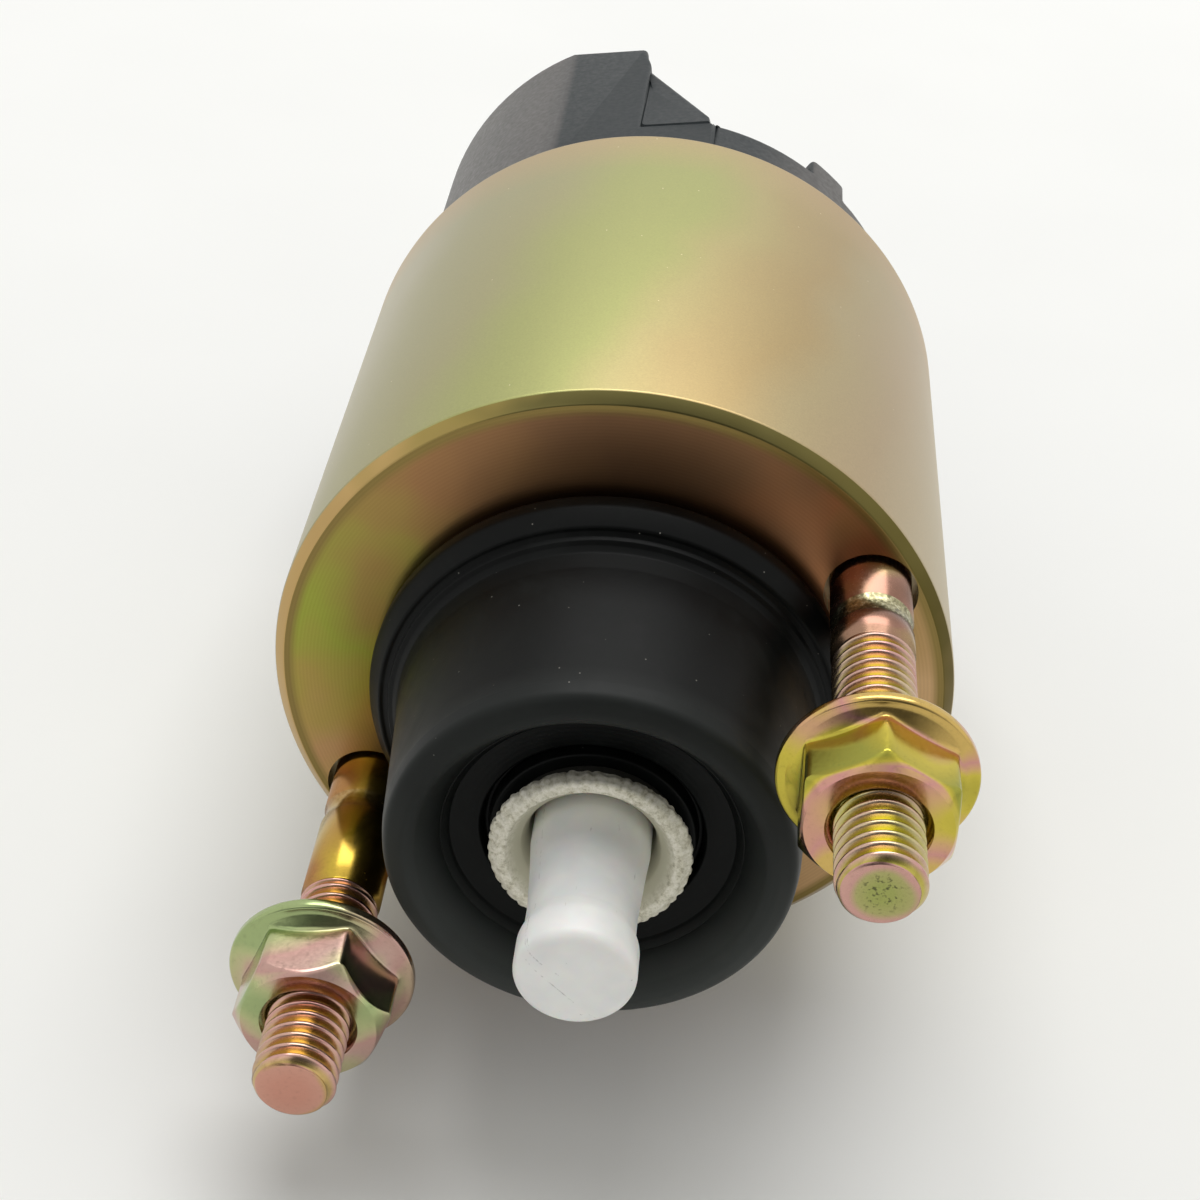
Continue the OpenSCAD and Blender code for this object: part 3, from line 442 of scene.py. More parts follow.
def collarMaterial():
    # cream moulding with glass fibre: chalky and grainy outside, smoother and greyer down the funnel
    material, tree, shader, place = newMaterial("fibreFilledCream", Roughness=0.72)
    grain = addNode(tree, "TexNoise", {"Vector": place, "Scale": 1 / (0.45 * mm), "Detail": 5, "Roughness": 0.75})
    skin = addNode(tree, "ValToRGB", {0: grain}, [(0.32, "#A9A28A"), (0.46, "#D8D4C0"), (0.62, "#F0ECDE")])
    radius = axisDistance(tree, place)
    outer = addNode(tree, "MapRange", {0: radius, 1: 5.3 * mm, 2: 5.9 * mm})
    base = addNode(tree, "Mix", {0: outer, 6: srgb("#CBC8B2"), 7: skin}, data_type="RGBA")
    # painted shade: the neck behind the ring, down in the rubber recess, is darkened, and so is the top of its edge,
    # where dark rubber would show through the ribs
    axes = addNode(tree, "SeparateXYZ", {0: place})
    behind = addNode(tree, "MapRange", {0: axes.outputs["Y"], 1: -18.3 * mm, 2: -18.1 * mm})
    rim = addNode(tree, "MapRange", {0: axes.outputs["Y"], 1: -19.05 * mm, 2: -18.85 * mm})
    top = addNode(tree, "MapRange", {0: axes.outputs["Z"], 1: 3.5 * mm, 2: 6.5 * mm, 4: 0.7})
    edge = addNode(tree, "Math", {0: rim, 1: top}, operation="MULTIPLY")
    either = addNode(tree, "Math", {0: behind, 1: edge}, operation="MAXIMUM")
    paintedShadeShare = addNode(tree, "Math", {0: either, 1: outer}, operation="MULTIPLY")
    shadePainted = addNode(tree, "Mix", {0: paintedShadeShare, 6: base, 7: srgb("#2B2A25")}, data_type="RGBA")
    height = addNode(tree, "Math", {0: grain, 1: outer}, operation="MULTIPLY")
    bump = addNode(tree, "Bump", {"Height": height, "Strength": 0.7, "Distance": 0.06 * mm})
    setShader(tree, shader, Base_Color=shadePainted, Normal=bump)
    return material


def nylonMaterial():
    # natural nylon: milky white, light goes a little way in, with a few grey rub marks along the rod
    material, tree, shader, place = newMaterial(
        "naturalNylon", IOR=1.53, Subsurface_Weight=0.35, Subsurface_Scale=0.8 * mm)
    long = addNode(tree, "Mapping", {"Vector": place, "Scale": (1, 0.16, 1)})
    rubs = addNode(tree, "TexNoise", {"Vector": long, "Scale": 1 / (0.5 * mm), "Detail": 3, "Roughness": 0.6})
    marks = addNode(tree, "MapRange", {0: rubs, 1: 0.70, 2: 0.76})
    # broken parting lines: one along the rod's left side, one across its end
    axes = addNode(tree, "SeparateXYZ", {0: place})
    broken = addNode(tree, "TexNoise", {"Vector": place, "Scale": 1 / (0.9 * mm), "Detail": 4, "Roughness": 0.7})
    gaps = addNode(tree, "MapRange", {0: broken, 1: 0.50, 2: 0.60})
    sideways = addNode(tree, "VectorMath", {0: place, 1: (0.54, 0, 0.84)}, operation="DOT_PRODUCT")
    leftHalf = addNode(tree, "Math", {0: axes.outputs["X"], 1: -1 * mm}, operation="LESS_THAN")
    sideLine = addNode(tree, "Math", {0: sideways, 1: 0.0, 2: 0.045 * mm}, operation="COMPARE")
    sideMark = addNode(tree, "Math", {0: sideLine, 1: leftHalf}, operation="MULTIPLY")
    crosswise = addNode(tree, "VectorMath", {0: place, 1: (0.66, 0, 0.75)}, operation="DOT_PRODUCT")
    endLine = addNode(tree, "Math", {0: crosswise, 1: -1.09 * mm, 2: 0.04 * mm}, operation="COMPARE")
    atEnd = addNode(tree, "Math", {0: axes.outputs["Y"], 1: -31.1 * mm}, operation="LESS_THAN")
    endMark = addNode(tree, "Math", {0: endLine, 1: atEnd}, operation="MULTIPLY")
    seams = addNode(tree, "Math", {0: sideMark, 1: endMark}, operation="MAXIMUM")
    seamed = addNode(tree, "Math", {0: seams, 1: gaps}, operation="MULTIPLY")
    marked = addNode(tree, "Math", {0: marks, 1: seamed}, operation="MAXIMUM")
    faint = addNode(tree, "Math", {0: marked, 1: 0.5}, operation="MULTIPLY")
    cloud = addNode(tree, "TexNoise", {"Vector": place, "Scale": 1 / (3 * mm), "Detail": 2})
    skin = addNode(tree, "ValToRGB", {0: cloud}, [(0.35, "#E6E7E5"), (0.65, "#EFEFEB")])
    base = addNode(tree, "Mix", {0: faint, 6: skin, 7: srgb("#7C7A74")}, data_type="RGBA")
    gloss = addNode(tree, "Math", {0: cloud, 1: 0.2, 2: 0.28}, operation="MULTIPLY_ADD")
    bump = addNode(tree, "Bump", {"Height": rubs, "Strength": 0.15, "Distance": 0.02 * mm})
    setShader(tree, shader, Base_Color=base, Roughness=gloss, Normal=bump)
    return material


def finishMaterial(name, spec):
    # one grain, stretched along or across the axis, gives the colour, gloss and bump of a plain finish
    material, tree, shader, place = newMaterial(name, Metallic=spec["metal"])
    stretched = addNode(tree, "Mapping", {"Vector": place, "Scale": spec.get("stretch", (1, 1, 1))})
    grain = addNode(
        tree, "TexNoise", {"Vector": stretched, "Scale": 1 / (spec["grain"] * mm), "Detail": 4, "Roughness": 0.6})
    skin = addNode(tree, "ValToRGB", {0: grain}, [(0.32, spec["dark"]), (0.68, spec["light"])])
    low, high = spec["rough"]
    gloss = addNode(tree, "MapRange", {0: grain, 1: 0.3, 2: 0.7, 3: low, 4: high})
    bump = addNode(tree, "Bump", {"Height": grain, "Strength": 0.4, "Distance": spec["bump"] * mm})
    setShader(tree, shader, Base_Color=skin, Roughness=gloss, Normal=bump)
    return material


def capMaterial():
    # thermoset moulding: dark slate with a mineral grain; its outer wall is painted a warm grey, a painted sheen for
    # the light it would catch side-on
    material, tree, shader, place = newMaterial("mineralPhenolic", Specular_IOR_Level=0.2)
    grain = addNode(tree, "TexNoise", {"Vector": place, "Scale": 1 / (0.5 * mm), "Detail": 4, "Roughness": 0.6})
    skin = addNode(tree, "ValToRGB", {0: grain}, [(0.32, "#10171A"), (0.68, "#1B2325")])
    radius = axisDistance(tree, place)
    axes = addNode(tree, "SeparateXYZ", {0: place})
    cloud = addNode(tree, "TexNoise", {"Vector": place, "Scale": 1 / (6 * mm), "Detail": 5, "Roughness": 0.6})
    # painted sheen on the outer wall below its top edge, lighter lower down the side and patchy
    wall = addNode(tree, "MapRange", {0: radius, 1: 23.2 * mm, 2: 23.35 * mm})
    side = addNode(tree, "MapRange", {0: axes.outputs["Z"], 1: 22.5 * mm, 2: 19.5 * mm, 4: 0.9})
    sheenPatches = addNode(tree, "MapRange", {0: cloud, 1: 0.3, 2: 0.7, 3: 0.75, 4: 1.0})
    wallSheen = addNode(tree, "Math", {0: wall, 1: side}, operation="MULTIPLY")
    patchyWallSheen = addNode(tree, "Math", {0: wallSheen, 1: sheenPatches}, operation="MULTIPLY")
    base = addNode(tree, "Mix", {0: patchyWallSheen, 6: skin, 7: srgb("#5C5855")}, data_type="RGBA")
    gloss = addNode(tree, "MapRange", {0: grain, 1: 0.3, 2: 0.7, 3: 0.36, 4: 0.5})
    bump = addNode(tree, "Bump", {"Height": grain, "Strength": 0.4, "Distance": 0.006 * mm})
    setShader(tree, shader, Base_Color=base, Roughness=gloss, Normal=bump)
    return material


satinZinc = satinZincMaterial()
turnedZinc = turnedZincMaterial()
nutFilms = {
    "right": {"seed": 0.05, "rough": 0.08, "zones": (0.56, 0.19, 0.56), "stops": [
        (0.22, "#A09E44"), (0.36, "#B4A843"), (0.47, "#C9B84C"), (0.56, "#D0A878"), (0.66, "#CB938A"),
        (0.78, "#CFAF66")]},
    "left": {"seed": 0.53, "rough": 0.08, "zones": (0.38, 0.60, 0.46), "stops": [
        (0.22, "#9FAE7A"), (0.36, "#B4B886"), (0.46, "#BFB08E"), (0.54, "#BE978D"), (0.66, "#BB9C90"),
        (0.80, "#B3AB86")]}}
studFilms = {
    "right": {"seed": 0.31, "rough": 0.15, "plainEnd": plainEnds["right"], "neckDull": 1.0, "pits": 0.9,
              "root": "#B9B23A",
              "crests": [(0.35, "#C8BE86"), (0.5, "#CDB29A"), (0.65, "#CB9E96")],
              # partly painted reflection: the right shank's rose-brown film is darkened for the dark boot it would
              # reflect
              "shank": [(0.35, "#7E5C4C"), (0.5, "#9A7464"), (0.62, "#A89068")],
              "disc": [(0.4, "#9DA25E"), (0.70, "#ABA66E"), (0.84, "#C79A90"), (0.98, "#CDA094")]},
    "left": {"seed": 0.12, "rough": 0.13, "plainEnd": plainEnds["left"], "neckDull": 0.25, "pits": 0.0,
             "root": "#C9AE62",
             "crests": [(0.35, "#C2A68E"), (0.5, "#CF9F96"), (0.65, "#D3A89C")],
             "shank": [(0.35, "#B08E3E"), (0.5, "#C4A844"), (0.65, "#A87A4A")],
             "disc": [(0.3, "#C58E7C"), (0.7, "#C99684"), (0.85, "#BFA264")]}}
filmZinc = {}
for side, centre in studPlaces.items():
    filmZinc["stud" + side] = studZincMaterial("yellowZincStud" + side.capitalize(), centre, studFilms[side])
    filmZinc["nut" + side] = nutZincMaterial("yellowZincNut" + side.capitalize(), centre, nutFilms[side])
bevelZinc = bevelZincMaterial()
blackRubber = rubberMaterial()
creamCollar = collarMaterial()
whiteNylon = nylonMaterial()

across, along = (0.15, 1, 0.15), (1, 0.15, 1)  # grain drawn out across or along the can's axis
finishes = {
    # drawn spring wire: grey with fine lines along the draw
    "drawnSpringSteel": {"metal": 1, "dark": "#6E6F73", "light": "#9C9DA0", "rough": (0.24, 0.4), "grain": 0.3,
                         "bump": 0.005},
    # turned soft iron: bands from the tool
    "turnedSoftIron": {"metal": 1, "dark": "#8C8C89", "light": "#B4B4B0", "rough": (0.28, 0.42), "grain": 0.4,
                       "bump": 0.006, "stretch": across},
    # drawn brass: warm, with lines along the tube
    "drawnBrass": {"metal": 1, "dark": "#B48E3E", "light": "#D8B867", "rough": (0.2, 0.36), "grain": 0.4,
                   "bump": 0.004, "stretch": along},
    # glass-filled nylon bobbin: straw, slightly mottled
    "glassFilledNylon": {"metal": 0, "dark": "#C2B88F", "light": "#DDD5B4", "rough": (0.42, 0.6), "grain": 0.8,
                         "bump": 0.01},
    # varnished copper wire: red-brown and glossy
    "enamelledCopper": {"metal": 1, "dark": "#7E4220", "light": "#B46A3A", "rough": (0.2, 0.35), "grain": 0.5,
                        "bump": 0.02, "stretch": across},
    # woven cotton tape: cream, matt, with the weave across
    "wovenCottonTape": {"metal": 0, "dark": "#B9B296", "light": "#E0DAC4", "rough": (0.75, 0.9), "grain": 0.35,
                        "bump": 0.04},
    # pressed insulating board: brown and fibrous
    "pressedFibreBoard": {"metal": 0, "dark": "#5E3519", "light": "#8E5B36", "rough": (0.5, 0.7), "grain": 0.4,
                          "bump": 0.02},
    # rolled and turned copper: salmon, going brown in patches
    "turnedCopper": {"metal": 1, "dark": "#B06E48", "light": "#CF8D66", "rough": (0.22, 0.36), "grain": 0.9,
                     "bump": 0.004},
    # flat sealing rubber: dull black
    "sealRubber": {"metal": 0, "dark": "#141516", "light": "#242526", "rough": (0.55, 0.7), "grain": 0.4,
                   "bump": 0.01},
    # bright zinc plating: bluish silver with a slight cloud
    "brightZinc": {"metal": 1, "dark": "#B2B6BA", "light": "#CDD0D3", "rough": (0.2, 0.3), "grain": 0.6,
                   "bump": 0.004},
    # tinned brass strip: soft warm silver, rolled along its length
    "tinnedBrass": {"metal": 1, "dark": "#AFA995", "light": "#D6D2C6", "rough": (0.22, 0.38), "grain": 0.5,
                    "bump": 0.005, "stretch": along}}
finish = {name: finishMaterial(name, spec) for name, spec in finishes.items()}
finish["mineralPhenolic"] = capMaterial()
print("materials made")


# can

# the boot groove's two radii, and the radius and depth of each step of the stud holes
can = {"radius": 26, "length": 47, "bevel": 0.8, "wall": 2.8, "faceThickness": 5, "faceRadius": 24.5, "bore": 9.62,
       "bootGroove": (12.2, 14.2), "grooveDepth": 2.0, "lipRadius": 23.6, "lip": 0.9, "capRadius": 24.7,
       "capSeat": 39.5, "studHoles": ((3.45, 1.6), (3.03, 5.5)), "steps": 384}


def makeCan(spec):
    r, l, b = spec["radius"], spec["length"], spec["bevel"]
    bore, face, seat = spec["bore"], spec["faceThickness"], spec["capSeat"]
    low, high = spec["bootGroove"]
    inner, lipFront = r - spec["wall"], l - spec["lip"]
    outline = softOutline([
        (bore, 0, 0.15), (low, 0), (low, spec["grooveDepth"]), (high, spec["grooveDepth"]), (high, 0),
        (spec["faceRadius"], 0), (r - b, 0, 0.3), (r, b, 0.25), (r, l - 1.1, 0.9), (r - 1.1, l, 0.6),
        (spec["lipRadius"], l, 0.2), (spec["lipRadius"], lipFront), (spec["capRadius"], lipFront),
        (spec["capRadius"], seat), (inner, seat), (inner, face), (bore, face)])
    piece = turnedPiece("can", outline, spec["steps"])
    for x, z in studPlaces.values():
        for radius, depth in spec["studHoles"]:
            bpy.ops.object.select_all(action="DESELECT")
            bpy.ops.mesh.primitive_cylinder_add(vertices=96, radius=radius * mm, depth=2 * depth * mm,
                                                location=(x * mm, 0, z * mm), rotation=(math.pi / 2, 0, 0))
            drill = bpy.context.object
            cut = piece.modifiers.new("drill", "BOOLEAN")
            cut.operation = "DIFFERENCE"
            cut.solver = "EXACT"
            cut.object = drill
            applyModifiers(piece)
            bpy.data.objects.remove(drill)
    finishPiece(piece)
    paint(piece, satinZinc)
    piece.data.materials.append(turnedZinc)
    piece.data.materials.append(bevelZinc)
    for polygon in piece.data.polygons:
        radius, depth = math.hypot(polygon.center.x, polygon.center.z) / mm, polygon.center.y / mm
        if depth < b - 0.12:
            polygon.material_index = 1 if radius < r - b - 0.02 else 2  # turned face, then chamfer
    return piece


canPiece = makeCan(can)
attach(canPiece, "can")
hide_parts("housing")
print("can made")


# mounting studs

stud = {"major": 2.95, "shank": 3.0, "pitch": 1.0, "depth": 0.6, "inner": 5, "tip": -32.5, "neck": (-3.9, -6.1),
        "neckDepth": 0.2, "plainEnd": plainEnds, "chamfer": 0.55, "steps": 96}


def makeStud(spec, side):
    x, z = studPlaces[side]
    shank, major, tip = spec["shank"], spec["major"], spec["tip"]
    neckStart, neckEnd = spec["neck"]
    neck = shank - spec["neckDepth"]
    plain, chamfer = spec["plainEnd"][side], spec["chamfer"]
    outline = [(0, spec["inner"]), (shank, spec["inner"]), (shank, neckStart)]
    outline += [(neck, neckStart - 0.35), (neck, neckEnd + 0.35), (shank, neckEnd), (shank, plain + 0.3)]
    outline += [(shank - 0.35, plain), (shank - 0.35, plain - 0.15)]
    outline += [(major, y) for y in evenSteps(plain - 0.5, tip + chamfer, 0.05)]
    outline += [(major - chamfer * t, tip + chamfer * (1 - t)) for t in (0.25, 0.5, 0.75, 0.95)]
    outline += [(major - 0.62, tip + 0.02), (major - 0.8, tip), (0, tip)]
    piece = turnedPiece("stud" + side.capitalize(), outline, spec["steps"], (x, z), closed=False, angle=60)

    def rule(radius, angle, y):
        if y > plain - 0.4 or radius < 1.0:
            return radius, y
        fade = ease((plain - 0.4 - y) / 0.5)
        root = major - spec["depth"] * fade * threadDepth(y, angle, spec["pitch"])
        return softMin(radius, root, 0.05), y

    reshape(piece, (x, z), rule)
    return piece


for side in studPlaces:
    dress(makeStud(stud, side), "can", "zinc_fastener", filmZinc["stud" + side], "stud_" + side)
print("studs made")


# flange nuts

flangeNut = {"acrossFlats": 10, "height": 6, "flangeRadius": 6.7, "back": -20.6, "bore": 2.97, "chamfer": 1.15,
             "turn": {"right": 34, "left": 10}, "steps": 360}


def makeFlangeNut(spec, side):
    x, z = studPlaces[side]
    back, height, rim, bore = spec["back"], spec["height"], spec["flangeRadius"], spec["bore"]
    corner = spec["acrossFlats"] / math.sqrt(3)
    turn = spec["turn"][side]
    outline = [(bore, back - 0.4), (bore + 0.4, back)]
    outline += softOutline([
        (bore + 0.4, back), (rim, back, 0.35), (rim, back - 0.95, 0.3), (rim - 0.6, back - 1.02),
        (rim - 0.75, back - 1.1)], closed=False)[1:]
    chamfer = spec["chamfer"]
    for y in evenSteps(1.16, height - chamfer, 0.1):
        outline.append((corner - 0.1, back - y))
    for t in evenSteps(0.06, 1, 0.06):
        outline.append((corner - 0.1 - 0.87 * t, back - height + chamfer * (1 - t)))
    outline += softOutline([
        (corner - 1.02, back - height), (bore + 0.5, back - height, 0.1), (bore, back - height + 0.55, 0.1),
        (bore, back - 0.4)], closed=False)[:-1]
    piece = turnedPiece("flangeNut" + side.capitalize(), outline, spec["steps"], (x, z), angle=50)

    def rule(radius, angle, y):
        down = back - y
        if down < 1.08 or radius < bore + 1.0:
            return radius, y
        cone = rim - 0.75 - (down - 1.1) * 2.0
        flats = softMin(radius, hexRadius(angle, spec["acrossFlats"], turn), 0.16)
        return softMax(cone, flats, 0.3), y

    reshape(piece, (x, z), rule)
    return piece


for side in studPlaces:
    dress(makeFlangeNut(flangeNut, side), "can", "zinc_fastener", filmZinc["nut" + side], "nut_" + side)
print("flange nuts made")


# rubber boot: the cup stays on the can; the soft front, which hooks over the plunger, is left without a body

# the tongue's two radii and its depth in the can's groove
boot = {"rimRadius": 18.25, "rimFront": 0.08, "tongue": (12.3, 14.05, 1.85), "cupRadius": 14.65, "footRadius": 15.55,
        "crown": -20.0, "wall": 1.7, "grooveRadius": 10.3, "recessRadius": 7.8, "lipRadius": 6.85, "hookRadius": 7.3,
        "hookFront": -16.72, "neckRadius": 6.3, "steps": 320}


def makeBootCup(spec):
    cup, foot, crown = spec["cupRadius"], spec["footRadius"], spec["crown"]
    rim, groove, front = spec["rimRadius"], spec["grooveRadius"], spec["rimFront"]
    low, high, deep = spec["tongue"]
    inside = cup - spec["wall"]
    tongueAndRim = [
        (low, deep), (high, deep), (high, front), (rim - 0.95, front, 0.15), (rim - 0.05, -0.75, 0.5),
        (rim, -2.1, 0.7), (rim - 0.95, -3.5, 0.9), (rim - 1.3, -3.45, 0.2), (rim - 1.65, -3.62, 0.06),
        (rim - 1.75, -3.95, 0.1), (rim - 2.1, -4.1, 0.2)]
    cupSide = [
        (foot + 0.25, -4.5, 0.4), (foot, -6.0, 1.6), (cup, crown + 1.9, 0.6), (cup - 0.25, crown + 0.5, 0.9),
        (cup - 1.65, crown, 0.9), (cup - 2.35, crown + 0.25, 1.0)]
    grooveSide = [
        (groove + 0.75, -17.9, 0.6), (groove + 0.4, -17.35, 0.2), (groove + 0.3, -16.75, 0.1),
        (groove + 0.9, -16.4, 0.2)]
    insideWall = [
        (cup - 3.0, -17.0, 0.5), (inside, -15.8, 0.8), (inside + 0.4, -4.2, 0.5), (low + 0.2, -1.2, 0.5), (low, 0)]
    outline = softOutline(tongueAndRim + cupSide + grooveSide + insideWall)
    return turnedPiece("bootCup", outline, spec["steps"], angle=55)


def makeBootFront(spec):
    # its lip hooks over the shoulder of the plunger
    groove, recess, lip = spec["grooveRadius"], spec["recessRadius"], spec["lipRadius"]
    hook, neck, front = spec["hookRadius"], spec["neckRadius"], spec["hookFront"]
    faceAndRecess = [
        (groove + 0.55, -17.3), (groove + 0.33, -17.33), (groove - 0.05, -16.9, 0.1), (groove - 0.2, -16.66, 0.1),
        (recess + 0.2, -16.55, 0.2), (recess, -16.2, 0.3), (recess - 0.05, -15.5, 0.15), (hook + 0.1, -15.5, 0.12)]
    hookAndLip = [
        (hook, front, 0.2), (neck, front, 0.1), (neck, -16.44), (lip, -16.44), (lip, -13.25, 0.15),
        (recess + 0.6, -13.3, 0.3)]
    back = [(groove - 0.2, -15.2, 0.4), (groove + 0.25, -15.9, 0.2), (groove + 0.5, -16.5), (groove + 0.55, -16.9)]
    return turnedPiece("bootFront", softOutline(faceAndRecess + hookAndLip + back), spec["steps"], angle=55)


dress(makeBootCup(boot), "can", "black_rubber", blackRubber, "boot")
bootFront = dress(makeBootFront(boot), None, "black_rubber", blackRubber, "boot")
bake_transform(bootFront)
print("boot made")


# ribbed collar and push rod

collar = {"radius": 7.15, "front": -19.1, "back": -16.4, "ringBack": -18.15, "neck": 6.25, "edge": 6.5, "mouth": 5.9,
          "guide": 4.5, "tailRadius": 5.45, "tail": 4, "ribs": 46, "rib": 0.17, "crumb": 0.1, "steps": 552}


def makeCollar(spec):
    r, front, back, mouth = spec["radius"], spec["front"], spec["back"], spec["mouth"]
    ring, edge, neck, guide = spec["ringBack"], spec["edge"], spec["neck"], spec["guide"]
    tail, tailBack = spec["tailRadius"], back + spec["tail"]
    outline = [(neck, back), (neck, ring), (r - 0.35, ring)]
    outline += [(r, y) for y in evenSteps(ring - 0.1, front + 0.5, 0.1)]
    outline += [(r + (edge - r) * t, front + 0.45 * (1 - t)) for t in evenSteps(0.1, 0.95, 0.12)]
    outline += softOutline([
        (edge + 0.03, front + 0.02), (edge, front), (mouth, front, 0.12), (mouth - 1.0, front + 1.2, 0.5),
        (guide, back - 0.2), (guide, tailBack), (tail, tailBack), (tail, back)], closed=False)[1:]
    piece = turnedPiece("collar", outline, spec["steps"], angle=60)
    random.seed(7)
    depths = [random.uniform(0.1, 1.0) for rib in range(spec["ribs"])]

    def rule(radius, angle, y):
        if radius < edge - 0.05 or y > ring + 0.1:
            return radius, y
        turn = angle / math.tau % 1 * spec["ribs"]
        wave = abs((turn % 1) - 0.5) * 2
        cut = spec["rib"] * depths[int(turn) % spec["ribs"]] * ease(1.6 * wave - 0.3)
        crumb = noise.noise(Vector((math.cos(angle) * 14, math.sin(angle) * 14, y * 2.2))) * spec["crumb"]
        share = ease((radius - (edge - 0.05)) / 0.45)
        return radius - (cut - crumb) * share, y + crumb * share * 0.6

    reshape(piece, (0, 0), rule)
    return piece


pushRod = {"shank": 4.2, "waist": 3.74, "head": 4.1, "tip": -31.4, "flange": 5.4, "flangeBack": -9.8,
           "flangeFront": -12.3, "steps": 192}


def makePushRod(spec):
    shank, waist, head, tip = spec["shank"], spec["waist"], spec["head"], spec["tip"]
    flange, back, front = spec["flange"], spec["flangeBack"], spec["flangeFront"]
    outline = softOutline([
        (0, back), (flange, back, 0.2), (flange, front, 0.2), (shank, front, 0.3), (shank, -18.2, 1.2),
        (shank - 0.16, -20.0, 2.5), (waist, -24.6, 2.5), (waist, -26.9, 1.2), (head, -28.1, 1.4),
        (head, tip + 0.5, 1.3), (head - 1.3, tip, 3.0), (0, tip)], closed=False)
    return turnedPiece("pushRod", outline, spec["steps"], closed=False, angle=60)


dress(makeCollar(collar), "plunger_set", "cream_collar", creamCollar, "collar")
dress(makePushRod(pushRod), "rod", "white_nylon", whiteNylon, "push_rod")
print("collar and rod made")


# terminal end of the part

terminal = {"major": 3.95, "pitch": 1.25, "depth": 0.77, "thread": (57.9, 73.9), "runOut": 0.6, "head": 5.5,
            "headBack": 48.3, "headFront": 51.3, "tip": 77.8, "places": {"battery": -11, "motor": 11}, "steps": 80}


def makeTerminal(spec, side):
    x, major, runOut = spec["places"][side], spec["major"], spec["runOut"]
    head, back, front, tip = spec["head"], spec["headBack"], spec["headFront"], spec["tip"]
    start, end = spec["thread"]
    dog = major - 0.25
    outline = [(0, back), (head - 0.4, back), (head, back + 0.4), (head, front), (major, front)]
    outline += [(major, y) for y in evenSteps(front + 0.3, end - 0.05, 0.0625)]
    outline += [(dog, end + 0.05), (dog, tip - 1.1), (dog - 0.25, tip - 0.45), (dog - 0.8, tip - 0.05)]
    outline += [(dog - 1.1, tip), (0, tip)]
    piece = turnedPiece(side + "Terminal", outline, spec["steps"], (x, 0), closed=False, angle=60)

    def rule(radius, angle, y):
        if not start < y < end or radius < 2:
            return radius, y
        fade = ease((y - start) / runOut) * ease((end - y) / runOut)
        return softMin(radius, major - spec["depth"] * fade * threadDepth(y, angle, spec["pitch"]), 0.05), y

    reshape(piece, (x, 0), rule)
    return piece


for side in terminal["places"]:
    dress(makeTerminal(terminal, side), "can", "terminal_copper", finish["turnedCopper"], side + "_stud")
print("terminals made")


def nodeCopy(name, node):
    # a solid with a mesh of its own, free to change
    piece = bpy.data.objects.new(name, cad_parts[node].data.copy())
    bpy.context.scene.collection.objects.link(piece)
    return piece


def roundedCopy(name, node, width, shortest):
    # a machined or moulded solid with its sharp edges broken; edges under the shortest length are merged first,
    # because a bevel can't pass them
    piece = nodeCopy(name, node)
    pickOnly(piece)
    bpy.ops.object.mode_set(mode="EDIT")
    bpy.ops.mesh.select_all(action="SELECT")
    bpy.ops.mesh.remove_doubles(threshold=shortest * mm)
    bpy.ops.mesh.dissolve_limited(angle_limit=math.radians(0.5))
    bpy.ops.mesh.normals_make_consistent(inside=False)
    bpy.ops.object.mode_set(mode="OBJECT")
    edge = piece.modifiers.new("brokenEdges", "BEVEL")
    edge.limit_method = "ANGLE"
    edge.angle_limit = math.radians(32)
    edge.width = width * mm
    edge.segments = 3
    edge.use_clamp_overlap = False
    applyModifiers(piece)
    return finishPiece(piece, 40)


# node: piece, broken edge and shortest edge in mm, slot, finish
roundedNodes = {
    "cap": ("cap", 0.5, 0.2, "moulded_cap", "mineralPhenolic"),
    "spade_terminal": ("spadeTerminal", 0.1, 0.01, "tinned_brass", "tinnedBrass"),
    "spade_rivet": ("spadeRivet", 0.25, 0.01, "brass_tube", "drawnBrass")}
for side in terminal["places"]:
    roundedNodes[side + "_washer"] = (side + "Washer", 0.15, 0.01, "bright_zinc", "brightZinc")
    roundedNodes[side + "_base_nut"] = (side + "BaseNut", 0.15, 0.01, "bright_zinc", "brightZinc")
    roundedNodes[side + "_lock_washer"] = (side + "LockWasher", 0.15, 0.01, "spring_steel", "drawnSpringSteel")
    roundedNodes[side + "_nut"] = (side + "Nut", 0.15, 0.01, "bright_zinc", "brightZinc")
for node, (name, width, shortest, slot, look) in roundedNodes.items():
    dress(roundedCopy(name, node, width, shortest), "can", slot, finish[look], node)
print("cap and nuts made")


# springs

# node: piece, body, joint that presses it, seat that stays and travel in mm
springs = {
    "drive_spring": ("driveSpring", "plunger_set", "rod_press", 6.0, 3.5),
    "return_spring": ("returnSpring", "can", "plunger_pull", 33.2, 9.0),
    "contact_spring": ("contactSpring", "contact_shaft", "contact_overtravel", 40.6, 0.6),
    "contact_return_spring": ("contactReturnSpring", "can", "contact_close", 54.9, 2.25)}
for node, (name, body, joint, seat, travel) in springs.items():
    piece = nodeCopy(name, node)
    dress(finishPiece(piece, 40), body, "spring_steel", finish["drawnSpringSteel"], node)
    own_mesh(piece)


# pieces that keep their own solids

keptNodes = {
    "plunger": "turnedSoftIron", "sleeve": "drawnBrass", "bobbin": "glassFilledNylon",
    "pull_winding": "enamelledCopper", "hold_winding": "enamelledCopper", "winding_wrap": "wovenCottonTape",
    "core": "turnedSoftIron", "contact_rod": "turnedSoftIron", "lower_insulator": "pressedFibreBoard",
    "contact_disc": "turnedCopper", "upper_insulator": "pressedFibreBoard", "contact_clip": "drawnSpringSteel",
    "gasket": "sealRubber", "lead_switch": "enamelledCopper", "lead_motor": "enamelledCopper"}
for name, look in keptNodes.items():
    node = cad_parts[name]
    for materialSlot in node.material_slots:
        materialSlot.material = finish[look]
print("solids dressed")


# floor, light and camera

